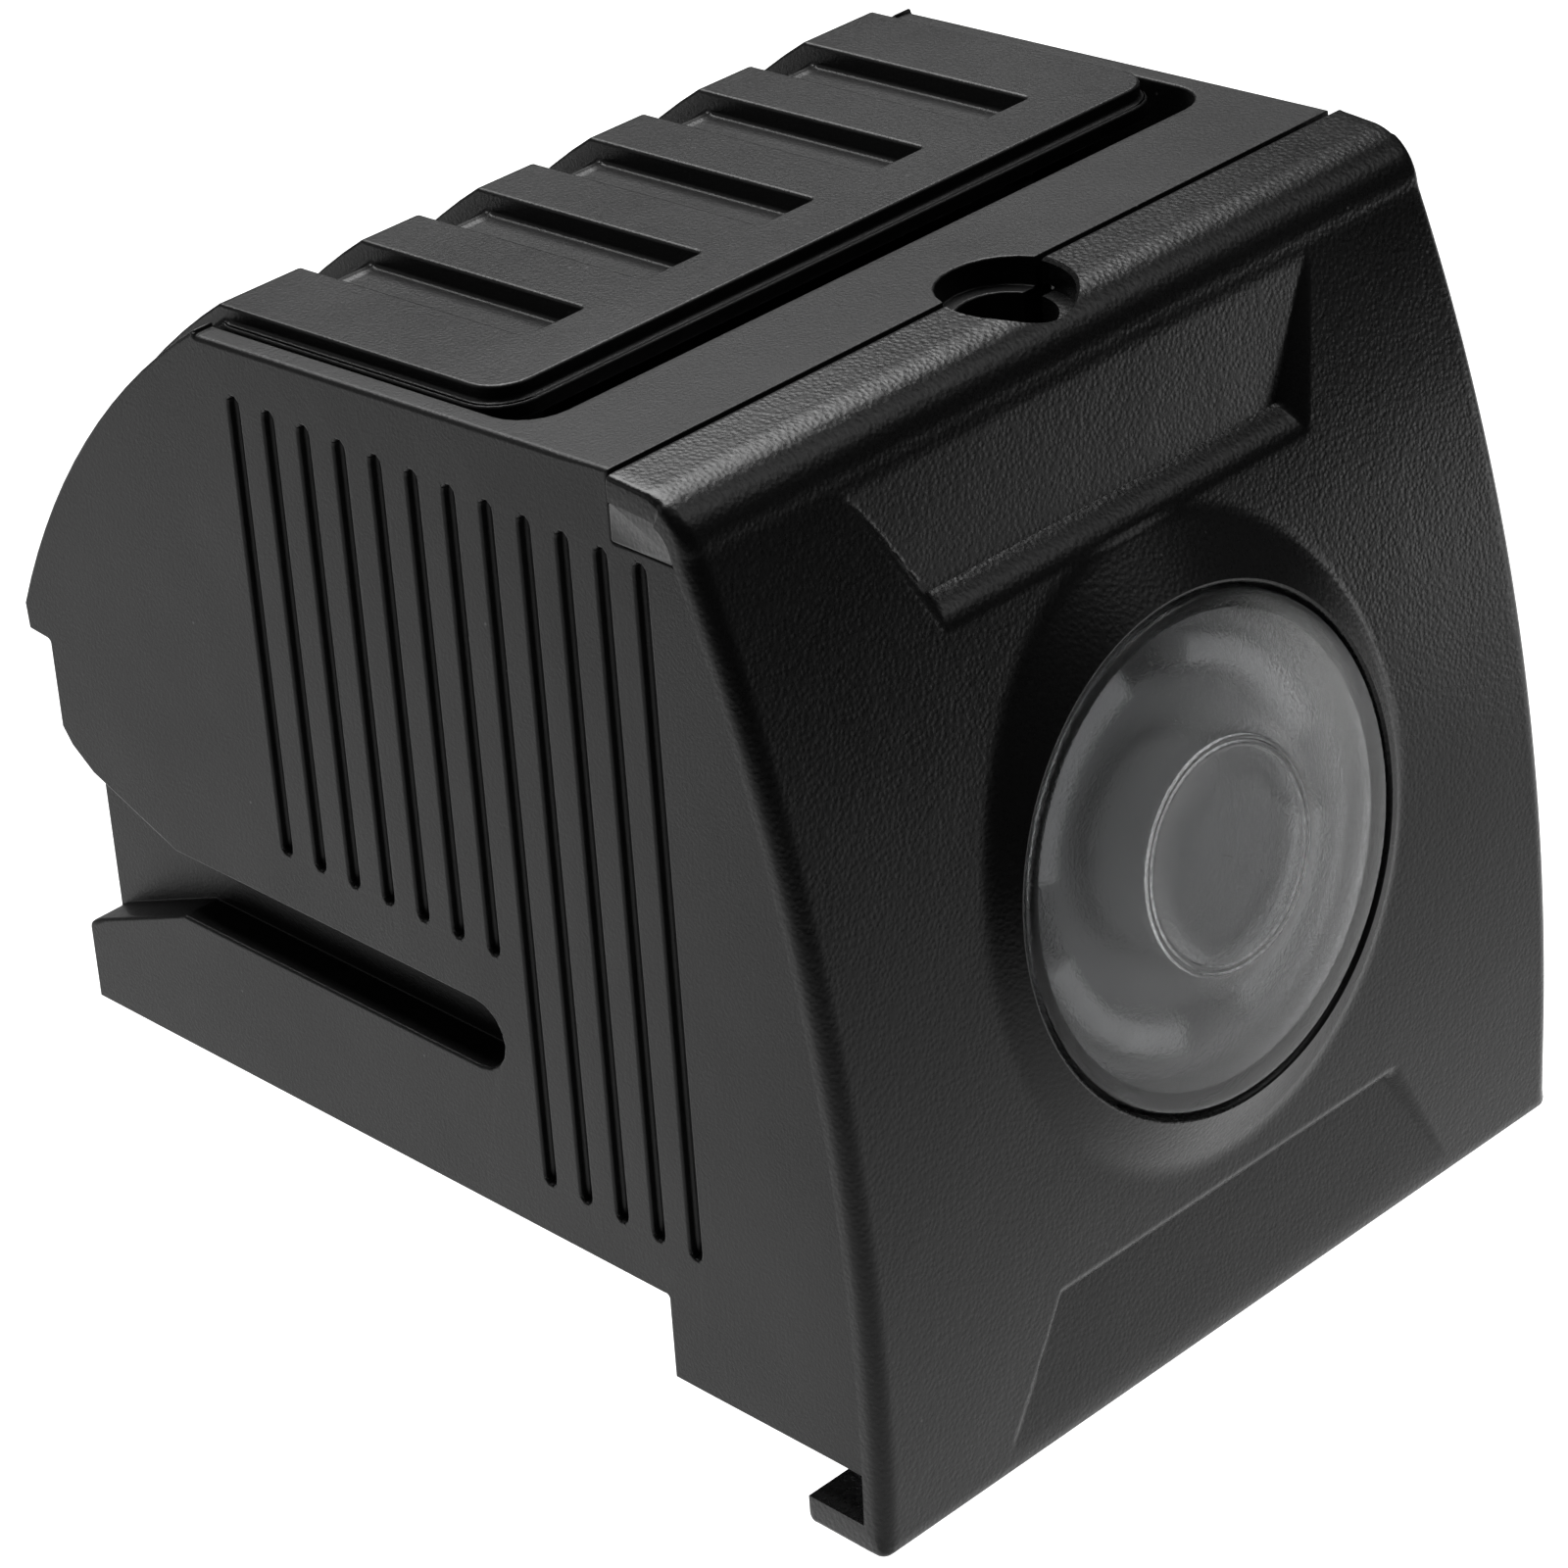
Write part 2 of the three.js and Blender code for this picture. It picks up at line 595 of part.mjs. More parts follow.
// ---- screws -------------------------------------------------------------------------------
// A pan-head screw pointing up +Z from its head's outer face, with a hexagonal socket.
function screw(name, headR, headHeight, shankR, length) {
  const head = post(headR, 0, 0, 0, headHeight, 10);
  const shank = post(shankR, 0, 0, headHeight - 0.1, headHeight + length, 6);
  const socket = post(headR * 0.45, 0, 0, -1, headHeight * 0.6, 6);
  return part(name, head.add(shank).subtract(socket), steel());
}

function placeScrews(prefix, places, make) {
  return places.map((place, i) => make(`${prefix}_${i + 1}`, place));
}

function risingScrew(headR, headHeight, shankR, length, z) {
  return (name, [x, y]) => {
    const made = screw(name, headR, headHeight, shankR, length);
    made.position.set(x, y, z);
    return made;
  };
}

function sinkingScrew(headR, headHeight, shankR, length, z) {
  return (name, [x, y]) => {
    const made = screw(name, headR, headHeight, shankR, length);
    made.rotation.x = Math.PI;
    made.position.set(x, y, z);
    return made;
  };
}

// ---- optics, made about the Y axis with -Y outwards ---------------------------------------
function lensPiece() {
  const outside = [
    [LENS.flangeR, 6],
    [LENS.flangeR, 4.6],
    [LENS.r, 4.6],
    [LENS.r, LENS.rim + 0.4],
    [LENS.r - 0.4, LENS.rim],
    [14.5, LENS.rim - 0.55],
    [11.2, LENS.rim - 1],
    [LENS.ringR + 0.3, LENS.rim - 1.25],
    [LENS.ringR, LENS.rim - 1.5],
    [0, LENS.rim - 1.6],
  ];
  const inside = [
    [0, LENS.rim + 0.6],
    [LENS.ringR, LENS.rim + 0.7],
    [12.6, LENS.rim + 1.2],
    [15.8, LENS.rim + 1.9],
    [15.8, 6],
  ];
  return part("lens", turned([...outside, ...inside], 36), clear());
}

function lensGasket() {
  const section = [[17.9, 3.3], [19.9, 3.3], [19.9, 4.3], [17.9, 4.3]];
  return part("lens_gasket", turned(section, 28), rubber());
}

// A frosted disc over the opening of the reflector, in front of the main LED.
const centreDiffuser = () => part("centre_diffuser", peg(7.2, 0, 0, 4.1, 5, 36), translucent());

// Four arcs of a ring light guide, evenly spaced, with a gap between neighbours.
const radians = (degrees) => (degrees * Math.PI) / 180;
function lightGuide(index) {
  const from = radians(index * 90 + GUIDE.from);
  const to = from + radians(GUIDE.sweep);
  const outside = arcPoints(0, 0, GUIDE.outer, from, to, 10);
  const inside = arcPoints(0, 0, GUIDE.inner, to, from, 10);
  const arc = extrude([...outside, ...inside], 3).rotateX(Math.PI / 2).translate(0, 5, 0);
  return part(`light_guide_${index + 1}`, solid(arc), translucent());
}

function reflector() {
  const profile = [
    [5, 8.2],
    [5, 6.6],
    [6.5, 5.3],
    [15.3, 5.3],
    [15.3, 6.3],
    [LENS.flangeR, 6.3],
    [LENS.flangeR, 9.7],
    [17.6, 9.7],
    [17.6, 8.2],
  ];
  return part("reflector", turned(profile, 32), finish(0x77797b, 0.45));
}

function ledBoard() {
  const disc = peg(17.2, 0, 0, 10, 11.6, 32);
  const holes = [[-12, 0], [12, 0]].map(([x, z]) => peg(1.2, x, z, 9, 13, 10));
  return part("led_board", cutAll(disc, holes), laminate());
}

const mainLed = () => part("main_led", block(-2.5, 2.5, 8.4, 9.7, -2.5, 2.5), finish(0xe8d98a, 0.4));

function ringLed(index) {
  const angle = radians(index * 90 + GUIDE.from + GUIDE.sweep / 2);
  const r = (GUIDE.inner + GUIDE.outer) / 2;
  const shape = block(-1.4, 1.4, 8.7, 9.7, -1.4, 1.4);
  const led = part(`ring_led_${index + 1}`, shape, finish(0xece6c8, 0.4));
  led.position.set(r * Math.cos(angle), 0, r * Math.sin(angle));
  return led;
}

function heatSink() {
  const plate = block(-21, 21, 11.9, 14.9, -21, 21);
  const fins = [];
  for (let i = -3; i <= 3; i += 1) {
    fins.push(block(i * 4.4 - 0.8, i * 4.4 + 0.8, 14.8, 26, -17, 17));
  }
  const holes = CORNERS.map(([x, z]) => peg(1.3, x, z, 11, 16, 10));
  const boardHoles = [[-12, 0], [12, 0]].map(([x, z]) => peg(1.2, x, z, 11, 16, 10));
  return part("heat_sink", cutAll(addAll(plate, fins), [...holes, ...boardHoles]), aluminium());
}

// A screw in the lens frame, with its head at the back (outwards = 1) or at the front (-1).
function opticScrew(headR, headHeight, shankR, length, y, forwards) {
  return (name, [x, z]) => {
    const made = screw(name, headR, headHeight, shankR, length);
    made.rotation.x = forwards ? Math.PI / 2 : -Math.PI / 2;
    made.position.set(x, y, z);
    return made;
  };
}

function optics() {
  const group = new THREE.Group();
  group.add(lensPiece(), lensGasket(), centreDiffuser(), reflector());
  group.add(ledBoard(), mainLed(), heatSink());
  for (let i = 0; i < 4; i += 1) {
    group.add(lightGuide(i), ringLed(i));
  }
  group.add(
    ...placeScrews("optic_screw", CORNERS, opticScrew(2.1, 1.5, 1, 9, 16.7, true)),
    ...placeScrews("led_board_screw", [[-12, 0], [12, 0]], opticScrew(1.8, 1, 0.9, 4.4, 8.7, false)),
  );
  group.rotation.x = -tilt;
  group.position.set(0, faceAt(LENS.z), LENS.z);
  return group;
}

// ---- electrics ----------------------------------------------------------------------------
function driverBoard() {
  const board = block(-25, 25, 30, 53.5, 19, 20.6);
  const holes = BOARD_POSTS.map(([x, y]) => post(1.3, x, y, 18, 22, 10));
  return part("driver_board", cutAll(board, holes), laminate());
}

const can = (name, r, x, y, height, material) =>
  part(name, post(r, x, y, BOARD_TOP, BOARD_TOP + height, 18), material);

// Two pole terminal block in the rear wall: each slot takes a base blade from behind.
function contactBlock() {
  const body = block(-16, 16, 66, 78, 16, 31);
  const slots = bothSides((side) => sideBlock(side, POLE_X - 1.3, POLE_X + 1.3, 68, 79, 18.5, 28.5));
  const tails = bothSides((side) => sideBlock(side, POLE_X - 0.6, POLE_X + 0.6, 65, 69, 21.7, 25.3));
  return part("contact_block", cutAll(body, [...slots, ...tails]), moulded());
}

function contactBlade(name, side) {
  const blade = sideBlock(side, POLE_X - 0.3, POLE_X + 0.3, 68.3, 76, 19.5, 27.5);
  const tail = sideBlock(side, POLE_X - 0.3, POLE_X + 0.3, 63.6, 68.4, 22, 25);
  return part(name, blade.add(tail), brass());
}

function wire(name, r, points, color) {
  const path = new THREE.CatmullRomCurve3(points.map(([x, y, z]) => new THREE.Vector3(x, y, z)));
  const section = shapeOf(arcPoints(0, 0, r, 0, (5 / 3) * Math.PI, 5));
  const settings = { steps: 12, extrudePath: path, bevelEnabled: false };
  return part(name, solid(new THREE.ExtrudeGeometry(section, settings)), finish(color, 0.55));
}

function contactLead(name, side, color) {
  const route = [[13.7, 65, 23.5], [14.8, 62, 23.5], [14.8, 55, 22.5], [15, 51, 21.9]];
  return wire(name, 0.7, route.map(([x, y, z]) => [side * x, y, z]), color);
}

// From the connector on the driver board, up past the heat sink, to the edge of the LED board.
const LED_LEADS = {
  positive: [
    [-14, 29.8, 24.6], [-20.5, 27.5, 28], [-23.4, 19, 31.5], [-22.6, 13.4, 34], [-18.4, 12.6, 36],
  ],
  negative: [
    [-17, 29.8, 23.6], [-21, 27.3, 25.6], [-23.5, 19, 27.8], [-22.6, 12.6, 30], [-18.4, 12, 32],
  ],
};

function electrics() {
  return [
    driverBoard(),
    can("inductor", 6, -10, 43, 7, finish(0x3b3b3d, 0.5)),
    can("capacitor_1", 4, 12, 36, 10, finish(0x22262e, 0.4)),
    can("capacitor_2", 4, 12, 46, 10, finish(0x22262e, 0.4)),
    part("controller_chip", block(-3.5, 3.5, 32, 39, BOARD_TOP, BOARD_TOP + 1.2), moulded()),
    part("board_connector", block(-19, -8, 30.5, 35, BOARD_TOP, 26), finish(0xd9d6cb, 0.5)),
    wire("led_lead_positive", 0.6, LED_LEADS.positive, 0x8a1f1c),
    wire("led_lead_negative", 0.6, LED_LEADS.negative, 0x151515),
    contactBlock(),
    contactBlade("contact_blade_positive", -1),
    contactBlade("contact_blade_negative", 1),
    contactLead("contact_lead_positive", -1, 0x8a1f1c),
    contactLead("contact_lead_negative", 1, 0x151515),
  ];
}

// ---- the whole module ---------------------------------------------------------------------
const works = new THREE.Group();
works.add(
  mainHousing(),
  frontCover(),
  bottomPlate(),
  releaseSlider(),
  guideTray(),
  latchBolt(),
  sliderSpring("slider_spring_left", -1),
  sliderSpring("slider_spring_right", 1),
  boltSpring(),
  optics(),
  ...electrics(),
  ...placeScrews("cover_screw", COVER_SCREWS, risingScrew(2.2, 1.4, 1, 8.5, STEP_Z + 0.3)),
  ...placeScrews("bottom_screw", FLOOR_SCREWS, risingScrew(2.2, 0.9, 1, 7.5, SEAT_Z)),
  ...placeScrews("board_screw", BOARD_POSTS.slice(0, 2), sinkingScrew(1.9, 1.1, 0.7, 4.2, 22)),
  ...placeScrews("tray_screw", TRAY_SCREWS, sinkingScrew(1.7, 1, 0.8, 5.2, TRAY.high + 1.3)),
);
works.position.set(0, -SEAT_Y, -SEAT_Z);

const group = new THREE.Group();
group.add(works);
export default group;
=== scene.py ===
import json
import math

import bmesh
import bpy
from mathutils import Matrix, Vector


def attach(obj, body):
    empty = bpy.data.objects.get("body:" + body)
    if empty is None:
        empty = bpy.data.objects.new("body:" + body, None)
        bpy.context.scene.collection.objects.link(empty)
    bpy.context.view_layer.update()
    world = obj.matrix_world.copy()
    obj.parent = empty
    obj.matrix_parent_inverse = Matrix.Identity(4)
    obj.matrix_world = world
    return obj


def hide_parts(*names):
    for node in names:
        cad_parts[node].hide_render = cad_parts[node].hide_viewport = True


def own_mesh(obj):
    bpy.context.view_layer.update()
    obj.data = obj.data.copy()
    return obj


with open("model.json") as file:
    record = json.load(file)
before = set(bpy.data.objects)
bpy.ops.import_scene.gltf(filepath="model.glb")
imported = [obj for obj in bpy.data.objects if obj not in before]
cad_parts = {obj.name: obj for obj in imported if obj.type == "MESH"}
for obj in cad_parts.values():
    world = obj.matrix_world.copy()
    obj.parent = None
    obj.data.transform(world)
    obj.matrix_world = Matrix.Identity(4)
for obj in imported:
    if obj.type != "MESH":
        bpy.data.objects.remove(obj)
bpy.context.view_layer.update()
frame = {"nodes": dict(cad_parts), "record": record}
nodes = frame["nodes"]
MM = 0.001
SEAT_Y, SEAT_Z = 40.0, 11.85  # the row frame's origin, in the module's own millimetres
ORIGIN = Vector((0, SEAT_Y, SEAT_Z))

# ---- dimensions in millimetres: y from the bottom front edge, z from the hook lip's underside
FACE_HALF, TOP_HALF, SKIN = 34.7, 34.56, 1.8
SEAM_Y, TOP_Z = 18.2, 72.75
CORNER_Y, CORNER_Z, CORNER_R = 15.2, 68.4, 4.2
LIP_Y, LIP_TOP = 6.7, 2.2
LENS_Z, LENS_R = 36.65, 17.4
SHOULDER_TOP, SHOULDER_R, SHOULDER_SLOPE, SHOULDER_SOFT = -1.1, 18.0, 2.7 / 4.4, 0.35
HOLE_Y, HOLE_R, MOUTH_R, MOUTH_DEPTH = 17.3, 3.4, 4.55, 2.1
HOLE_LOW = 60.0  # bottom of the seam hole's bore
TUBE_R, TUBE_LOW, TUBE_HIGH = 6.0, 64.5, 71.15  # the tube around the seam hole
PATCH = 20.0  # half size of the square patch of the grid around the lens hole
WALL_STEPS = 6  # around the rounded sides of the cover


def lip(x, y, z):
    """A point in the module's own millimetres, as metres in the row frame."""
    return Vector((x, y - SEAT_Y, z - SEAT_Z)) * MM


def face_at(z):
    """Depth of the front face at a height."""
    return -0.0417 * z + 0.002224 * z**2 + 0.00001 * z**3


def face_slope(z):
    return -0.0417 + 0.004448 * z + 0.00003 * z**2


# ---- materials ------------------------------------------------------------------------------
class Nodes:
    """A short way to write a node tree."""

    def __init__(self, name):
        self.material = bpy.data.materials.new(name)
        self.material.use_nodes = True
        self.tree = self.material.node_tree
        self.shader = self.tree.nodes["Principled BSDF"]
        self.place = self.add("TexCoord").outputs["Object"]

    def add(self, kind, **values):
        node = self.tree.nodes.new("ShaderNode" + kind)
        for key, value in values.items():
            if hasattr(node, key):
                setattr(node, key, value)
            else:
                self.put(value, node.inputs[key.replace("_", " ")])
        return node

    def put(self, value, socket):
        if isinstance(value, bpy.types.NodeSocket):
            self.tree.links.new(value, socket)
        elif isinstance(value, bpy.types.Node):
            self.tree.links.new(value.outputs[0], socket)
        else:
            socket.default_value = value

    def noise(self, scale, detail=2.0, roughness=0.5):
        return self.add(
            "TexNoise", Vector=self.place, Scale=scale, Detail=detail, Roughness=roughness
        ).outputs[0]

    def cells(self, scale, feature="F1"):
        node = self.add("TexVoronoi", feature=feature, Vector=self.place, Scale=scale)
        return node.outputs["Distance"]

    def fit(self, value, low, high, to_low, to_high):
        node = self.add("MapRange")
        self.put(value, node.inputs["Value"])
        for i, v in enumerate((low, high, to_low, to_high)):
            node.inputs[i + 1].default_value = v
        return node.outputs[0]

    def sum(self, a, b, operation="ADD"):
        node = self.add("Math", operation=operation)
        self.put(a, node.inputs[0])
        self.put(b, node.inputs[1])
        return node.outputs[0]

    def mix(self, factor, a, b):
        node = self.add("Mix", data_type="RGBA")
        self.put(factor, node.inputs[0])
        self.put(a, node.inputs[6])
        self.put(b, node.inputs[7])
        return node.outputs[2]

    def bump(self, height, distance, strength=1.0, under=None):
        node = self.add("Bump", Height=height, Distance=distance, Strength=strength)
        if under is not None:
            self.put(under, node.inputs["Normal"])
        return node.outputs[0]

    def set(self, **values):
        for key, value in values.items():
            self.put(value, self.shader.inputs[key.replace("_", " ")])
        return self.material


def grey(v, tint=1.0):
    return (v, v, v * tint, 1.0)


def plastic(name, tone, rough, grain, depth, leather=0.0, specular=0.5):
    """Matt moulded plastic, with dust and a painted highlight along its convex edges.

    The grain is in features per metre, its depth in mm; leather is the share of pebbles."""
    n = Nodes(name)
    fine = n.noise(grain, 3.0, 0.6)
    height = fine
    if leather:
        pebble = n.fit(n.cells(grain * 0.8), 0.0, 0.7, 0.0, 1.0)
        height = n.sum(n.sum(fine, 1 - leather, "MULTIPLY"), n.sum(pebble, leather, "MULTIPLY"))
    cloud = n.noise(45.0, 4.0, 0.55)
    grit = n.noise(grain * 1.7, 1.0)
    # edge: a mask of the convex edges, which get a painted highlight below
    edge = n.fit(n.add("NewGeometry").outputs["Pointiness"], 0.52, 0.6, 0.0, 1.0)
    base = n.mix(n.fit(cloud, 0.3, 0.7, 0.0, 1.0), grey(tone * 0.86, 1.01), grey(tone * 1.14, 1.02))
    base = n.mix(n.fit(grit, 0.35, 0.65, 0.0, 0.3), base, grey(tone * 1.8))
    # Painted highlight: the convex edges are coloured lighter, whatever the lamps.
    base = n.mix(n.sum(edge, 0.35, "MULTIPLY"), base, grey(tone * 3.2))
    dust = n.fit(n.cells(520.0), 0.0, 0.075, 1.0, 0.0)
    rare = n.fit(n.noise(160.0, 1.0), 0.62, 0.66, 0.0, 1.0)
    base = n.mix(n.sum(n.sum(dust, rare, "MULTIPLY"), 0.5, "MULTIPLY"), base, grey(0.22))
    roughness = n.sum(
        n.fit(cloud, 0.3, 0.7, rough - 0.03, rough + 0.03),
        n.fit(fine, 0.3, 0.7, -0.04, 0.04),
    )
    broad = n.bump(n.noise(140.0, 1.0), 0.00004)
    normal = n.bump(height, depth * MM, 1.0, broad)
    n.set(Base_Color=base, Roughness=roughness, Normal=normal)
    return n.set(IOR=1.49, Specular_IOR_Level=specular)


def metal(name, colour, rough, brushed=(900.0, 900.0, 90.0)):
    n = Nodes(name)
    stretch = n.add("Mapping", Vector=n.place)
    stretch.inputs["Scale"].default_value = brushed
    lines = n.add("TexNoise", Vector=stretch.outputs[0], Scale=3.0, Detail=3.0).outputs[0]
    tarnish = n.noise(300.0, 3.0)
    dark = tuple(c * 0.7 for c in colour[:3]) + (1.0,)
    base = n.mix(n.fit(tarnish, 0.35, 0.75, 0.0, 0.6), colour, dark)
    roughness = n.fit(lines, 0.2, 0.8, rough - 0.08, rough + 0.1)
    n.set(Base_Color=base, Roughness=roughness, Normal=n.bump(lines, 0.000006))
    return n.set(Metallic=1.0)


def plain(name, colour, rough, grain=2500.0, depth=0.004, spread=0.15):
    """A board, package, rubber or insulation: a colour with mottling and a fine grain."""
    n = Nodes(name)
    low = tuple(c * (1 - spread) for c in colour[:3]) + (1.0,)
    high = tuple(min(1.0, c * (1 + spread)) for c in colour[:3]) + (1.0,)
    fine = n.noise(grain, 3.0)
    base = n.mix(n.fit(n.noise(400.0, 3.0), 0.3, 0.7, 0.0, 1.0), low, high)
    roughness = n.fit(fine, 0.3, 0.7, rough - 0.05, rough + 0.05)
    return n.set(Base_Color=base, Roughness=roughness, Normal=n.bump(fine, depth * MM))


def clear_lens(name):
    """Clear plastic with a fine spark-eroded grain, which lets lamps reach what is behind it."""
    n = Nodes(name)
    fine = n.noise(3400.0, 2.0, 0.6)
    sparkle = n.noise(9000.0, 1.0)
    scratches = n.noise(700.0, 4.0)
    roughness = n.sum(n.fit(fine, 0.3, 0.7, 0.14, 0.24), n.fit(scratches, 0.6, 0.8, 0.0, 0.05))
    height = n.sum(fine, n.sum(sparkle, 0.4, "MULTIPLY"))
    n.set(Roughness=roughness, Normal=n.bump(height, 0.00003))
    n.set(Base_Color=(0.86, 0.87, 0.88, 1.0), Transmission_Weight=1.0, IOR=1.47)
    lamp = n.add("LightPath").outputs["Is Shadow Ray"]
    see = n.add("BsdfTransparent", Color=(0.8, 0.8, 0.8, 1.0))
    blend = n.add("MixShader")
    n.put(lamp, blend.inputs[0])
    n.put(n.shader.outputs[0], blend.inputs[1])
    n.put(see.outputs[0], blend.inputs[2])
    n.put(blend.outputs[0], n.tree.nodes["Material Output"].inputs["Surface"])
    return n.material


MATERIALS = {
    "cover_plastic": plastic("cover_grained_plastic", 0.004, 0.29, 3400.0, 0.024, 0.55, 0.36),
    "housing_plastic": plastic("housing_matt_plastic", 0.005, 0.43, 4000.0, 0.03, specular=0.34),
    "slider_plastic": plastic("slider_matt_plastic", 0.005, 0.38, 4000.0, 0.03, specular=0.38),
    "plain_plastic": plastic("plain_plastic", 0.016, 0.48, 5200.0, 0.006),
    "tray_plastic": plastic("tray_plastic", 0.02, 0.45, 5200.0, 0.005),
    "lens_plastic": clear_lens("lens_clear_plastic"),
    "gasket_rubber": plain("gasket_rubber", (0.015, 0.015, 0.015), 0.8),
    "guide_plastic": plain("guide_frosted_plastic", (0.72, 0.72, 0.72), 0.5, 4200.0, 0.008, 0.1),
    "reflector_plastic": plain(
        "reflector_grey_plastic", (0.25, 0.25, 0.25), 0.55, 3600.0, 0.02, 0.12
    ),
    "board_laminate": plain("board_laminate", (0.02, 0.09, 0.045), 0.4),
    "led_package": plain("led_phosphor", (0.75, 0.62, 0.2), 0.4),
    "sink_aluminium": metal("sink_aluminium", (0.62, 0.63, 0.65, 1.0), 0.35),
    "steel": metal("zinc_plated_steel", (0.5, 0.51, 0.53, 1.0), 0.32),
    "component_black": plain("component_black", (0.02, 0.02, 0.022), 0.4),
    "connector_plastic": plain("connector_plastic", (0.6, 0.57, 0.5), 0.45),
    "contact_brass": metal("contact_brass", (0.72, 0.55, 0.26, 1.0), 0.28),
    "lead_red": plain("lead_red", (0.45, 0.03, 0.02), 0.45),
    "lead_black": plain("lead_black", (0.02, 0.02, 0.02), 0.45),
}


# ---- making pieces --------------------------------------------------------------------------
def settle(name, mesh, slot, body, replaced):
    """Gives a finished mesh its material and body, and hides the CAD nodes that it replaces."""
    obj = bpy.data.objects.new(name, mesh)
    bpy.context.scene.collection.objects.link(obj)
    mesh.materials.clear()
    mesh.materials.append(MATERIALS[slot])
    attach(obj, body)
    if replaced:
        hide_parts(*replaced)
    return obj


def mesh_of(name, points, faces):
    mesh = bpy.data.meshes.new(name)
    mesh.from_pydata([tuple(p) for p in points], [], faces)
    mesh.validate()
    return mesh


def tidy_mesh(mesh, sharp_degrees):
    """Faces turned outwards and shaded smooth, with edges sharper than an angle kept crisp."""
    bm = bmesh.new()
    bm.from_mesh(mesh)
    bmesh.ops.recalc_face_normals(bm, faces=bm.faces)
    for face in bm.faces:
        face.smooth = True
    limit = math.radians(sharp_degrees)
    for edge in bm.edges:
        if len(edge.link_faces) == 2 and edge.calc_face_angle(0.0) > limit:
            edge.smooth = False
    bm.to_mesh(mesh)
    bm.free()


def evaluated(obj):
    """The object's mesh with its modifiers applied; the object is removed."""
    bpy.context.view_layer.update()
    graph = bpy.context.evaluated_depsgraph_get()
    mesh = bpy.data.meshes.new_from_object(obj.evaluated_get(graph))
    bpy.data.objects.remove(obj)
    return mesh


def loose(name, mesh):
    obj = bpy.data.objects.new(name, mesh)
    bpy.context.scene.collection.objects.link(obj)
    return obj


def joined(mesh, others, operation="DIFFERENCE"):
    """A mesh cut by, or joined to, closed meshes."""
    obj = loose("work", mesh)
    tools = [loose("tool", other) for other in others]
    for tool in tools:
        modifier = obj.modifiers.new("boolean", "BOOLEAN")
        modifier.object = tool
        modifier.operation = operation
        modifier.solver = "MANIFOLD"
    result = evaluated(obj)
    for tool in tools:
        bpy.data.objects.remove(tool)
    return result


def bevelled(mesh, width_at, largest, segments=3, cuts=()):
    """Rounds a mesh's edges: width_at(point in mm, convex) gives each edge's width in mm.

    Flat faces are first joined up between the cuts, which are planes such as ("x", 25) in mm. They
    pass through the holes, so that no face has a hole in it."""
    bm = bmesh.new()
    bm.from_mesh(mesh)
    bmesh.ops.remove_doubles(bm, verts=bm.verts, dist=2e-6)
    planes = []
    for letter, value in cuts:
        axis = "xyz".index(letter)
        planes.append((axis, (value - ORIGIN[axis]) * MM))
    for axis, value in planes:
        place, normal = Vector(), Vector()
        place[axis], normal[axis] = value, 1.0
        everything = list(bm.verts) + list(bm.edges) + list(bm.faces)
        bmesh.ops.bisect_plane(bm, geom=everything, dist=1e-7, plane_co=place, plane_no=normal)
    flat = []
    for edge in bm.edges:
        if len(edge.link_faces) != 2 or edge.calc_face_angle(1.0) > math.radians(0.3):
            continue
        ends = [v.co for v in edge.verts]
        if not any(all(abs(co[axis] - value) < 2e-7 for co in ends) for axis, value in planes):
            flat.append(edge)
    bmesh.ops.dissolve_edges(bm, edges=flat, use_verts=False, use_face_split=False)
    straight = []
    for vert in bm.verts:
        if len(vert.link_edges) == 2:
            one, two = (e.other_vert(vert).co - vert.co for e in vert.link_edges)
            if one.length > 0 and two.length > 0 and one.angle(-two) < math.radians(0.2):
                straight.append(vert)
    bmesh.ops.dissolve_verts(bm, verts=straight)
    bmesh.ops.recalc_face_normals(bm, faces=bm.faces)
    weight = bm.edges.layers.float.new("bevel_weight_edge")
    for edge in bm.edges:
        edge[weight] = 0.0
        if len(edge.link_faces) != 2 or edge.calc_face_angle(0.0) < math.radians(22):
            continue
        middle = (edge.verts[0].co + edge.verts[1].co) / 2 / MM + ORIGIN
        width = width_at(middle, edge.is_convex)
        edge[weight] = min(1.0, width / largest)
    for face in bm.faces:
        face.smooth = True
    work = bpy.data.meshes.new("work")
    bm.to_mesh(work)
    bm.free()
    obj = loose("work", work)
    bevel = obj.modifiers.new("bevel", "BEVEL")
    bevel.limit_method = "WEIGHT"
    bevel.width = largest * MM
    bevel.segments = segments
    bevel.use_clamp_overlap = False
    bevel.miter_outer = "MITER_ARC"
    weighted = obj.modifiers.new("weighted", "WEIGHTED_NORMAL")
    weighted.keep_sharp = True
    return evaluated(obj)


def lathe(profile, sides, place):
    """A closed profile of [radius, along] points in mm, turned about the Y axis and placed."""
    points, faces = [], []
    count = len(profile)
    for i in range(sides):
        a = 2 * math.pi * i / sides
        for r, along in profile:
            points.append(place(r * math.cos(a), along, r * math.sin(a)))
    for i in range(sides):
        j = (i + 1) % sides
        for k in range(count):
            m = (k + 1) % count
            faces.append((i * count + k, j * count + k, j * count + m, i * count + m))
    return points, faces


# ---- front cover ----------------------------------------------------------------------------
TILT = math.atan(face_slope(LENS_Z))
CENTRE = Vector((0.0, face_at(LENS_Z), LENS_Z))
AXIS = Vector((0.0, math.cos(TILT), -math.sin(TILT)))  # inwards
RISE = Vector((0.0, math.sin(TILT), math.cos(TILT)))


def lens_frame(x, along, z):
    """A point of the lens frame, with along pointing into the module, in the module's mm."""
    return Vector((x, 0, 0)) + CENTRE + AXIS * along + RISE * z


def in_lens(x, along, z):
    p = lens_frame(x, along, z)
    return lip(p.x, p.y, p.z)


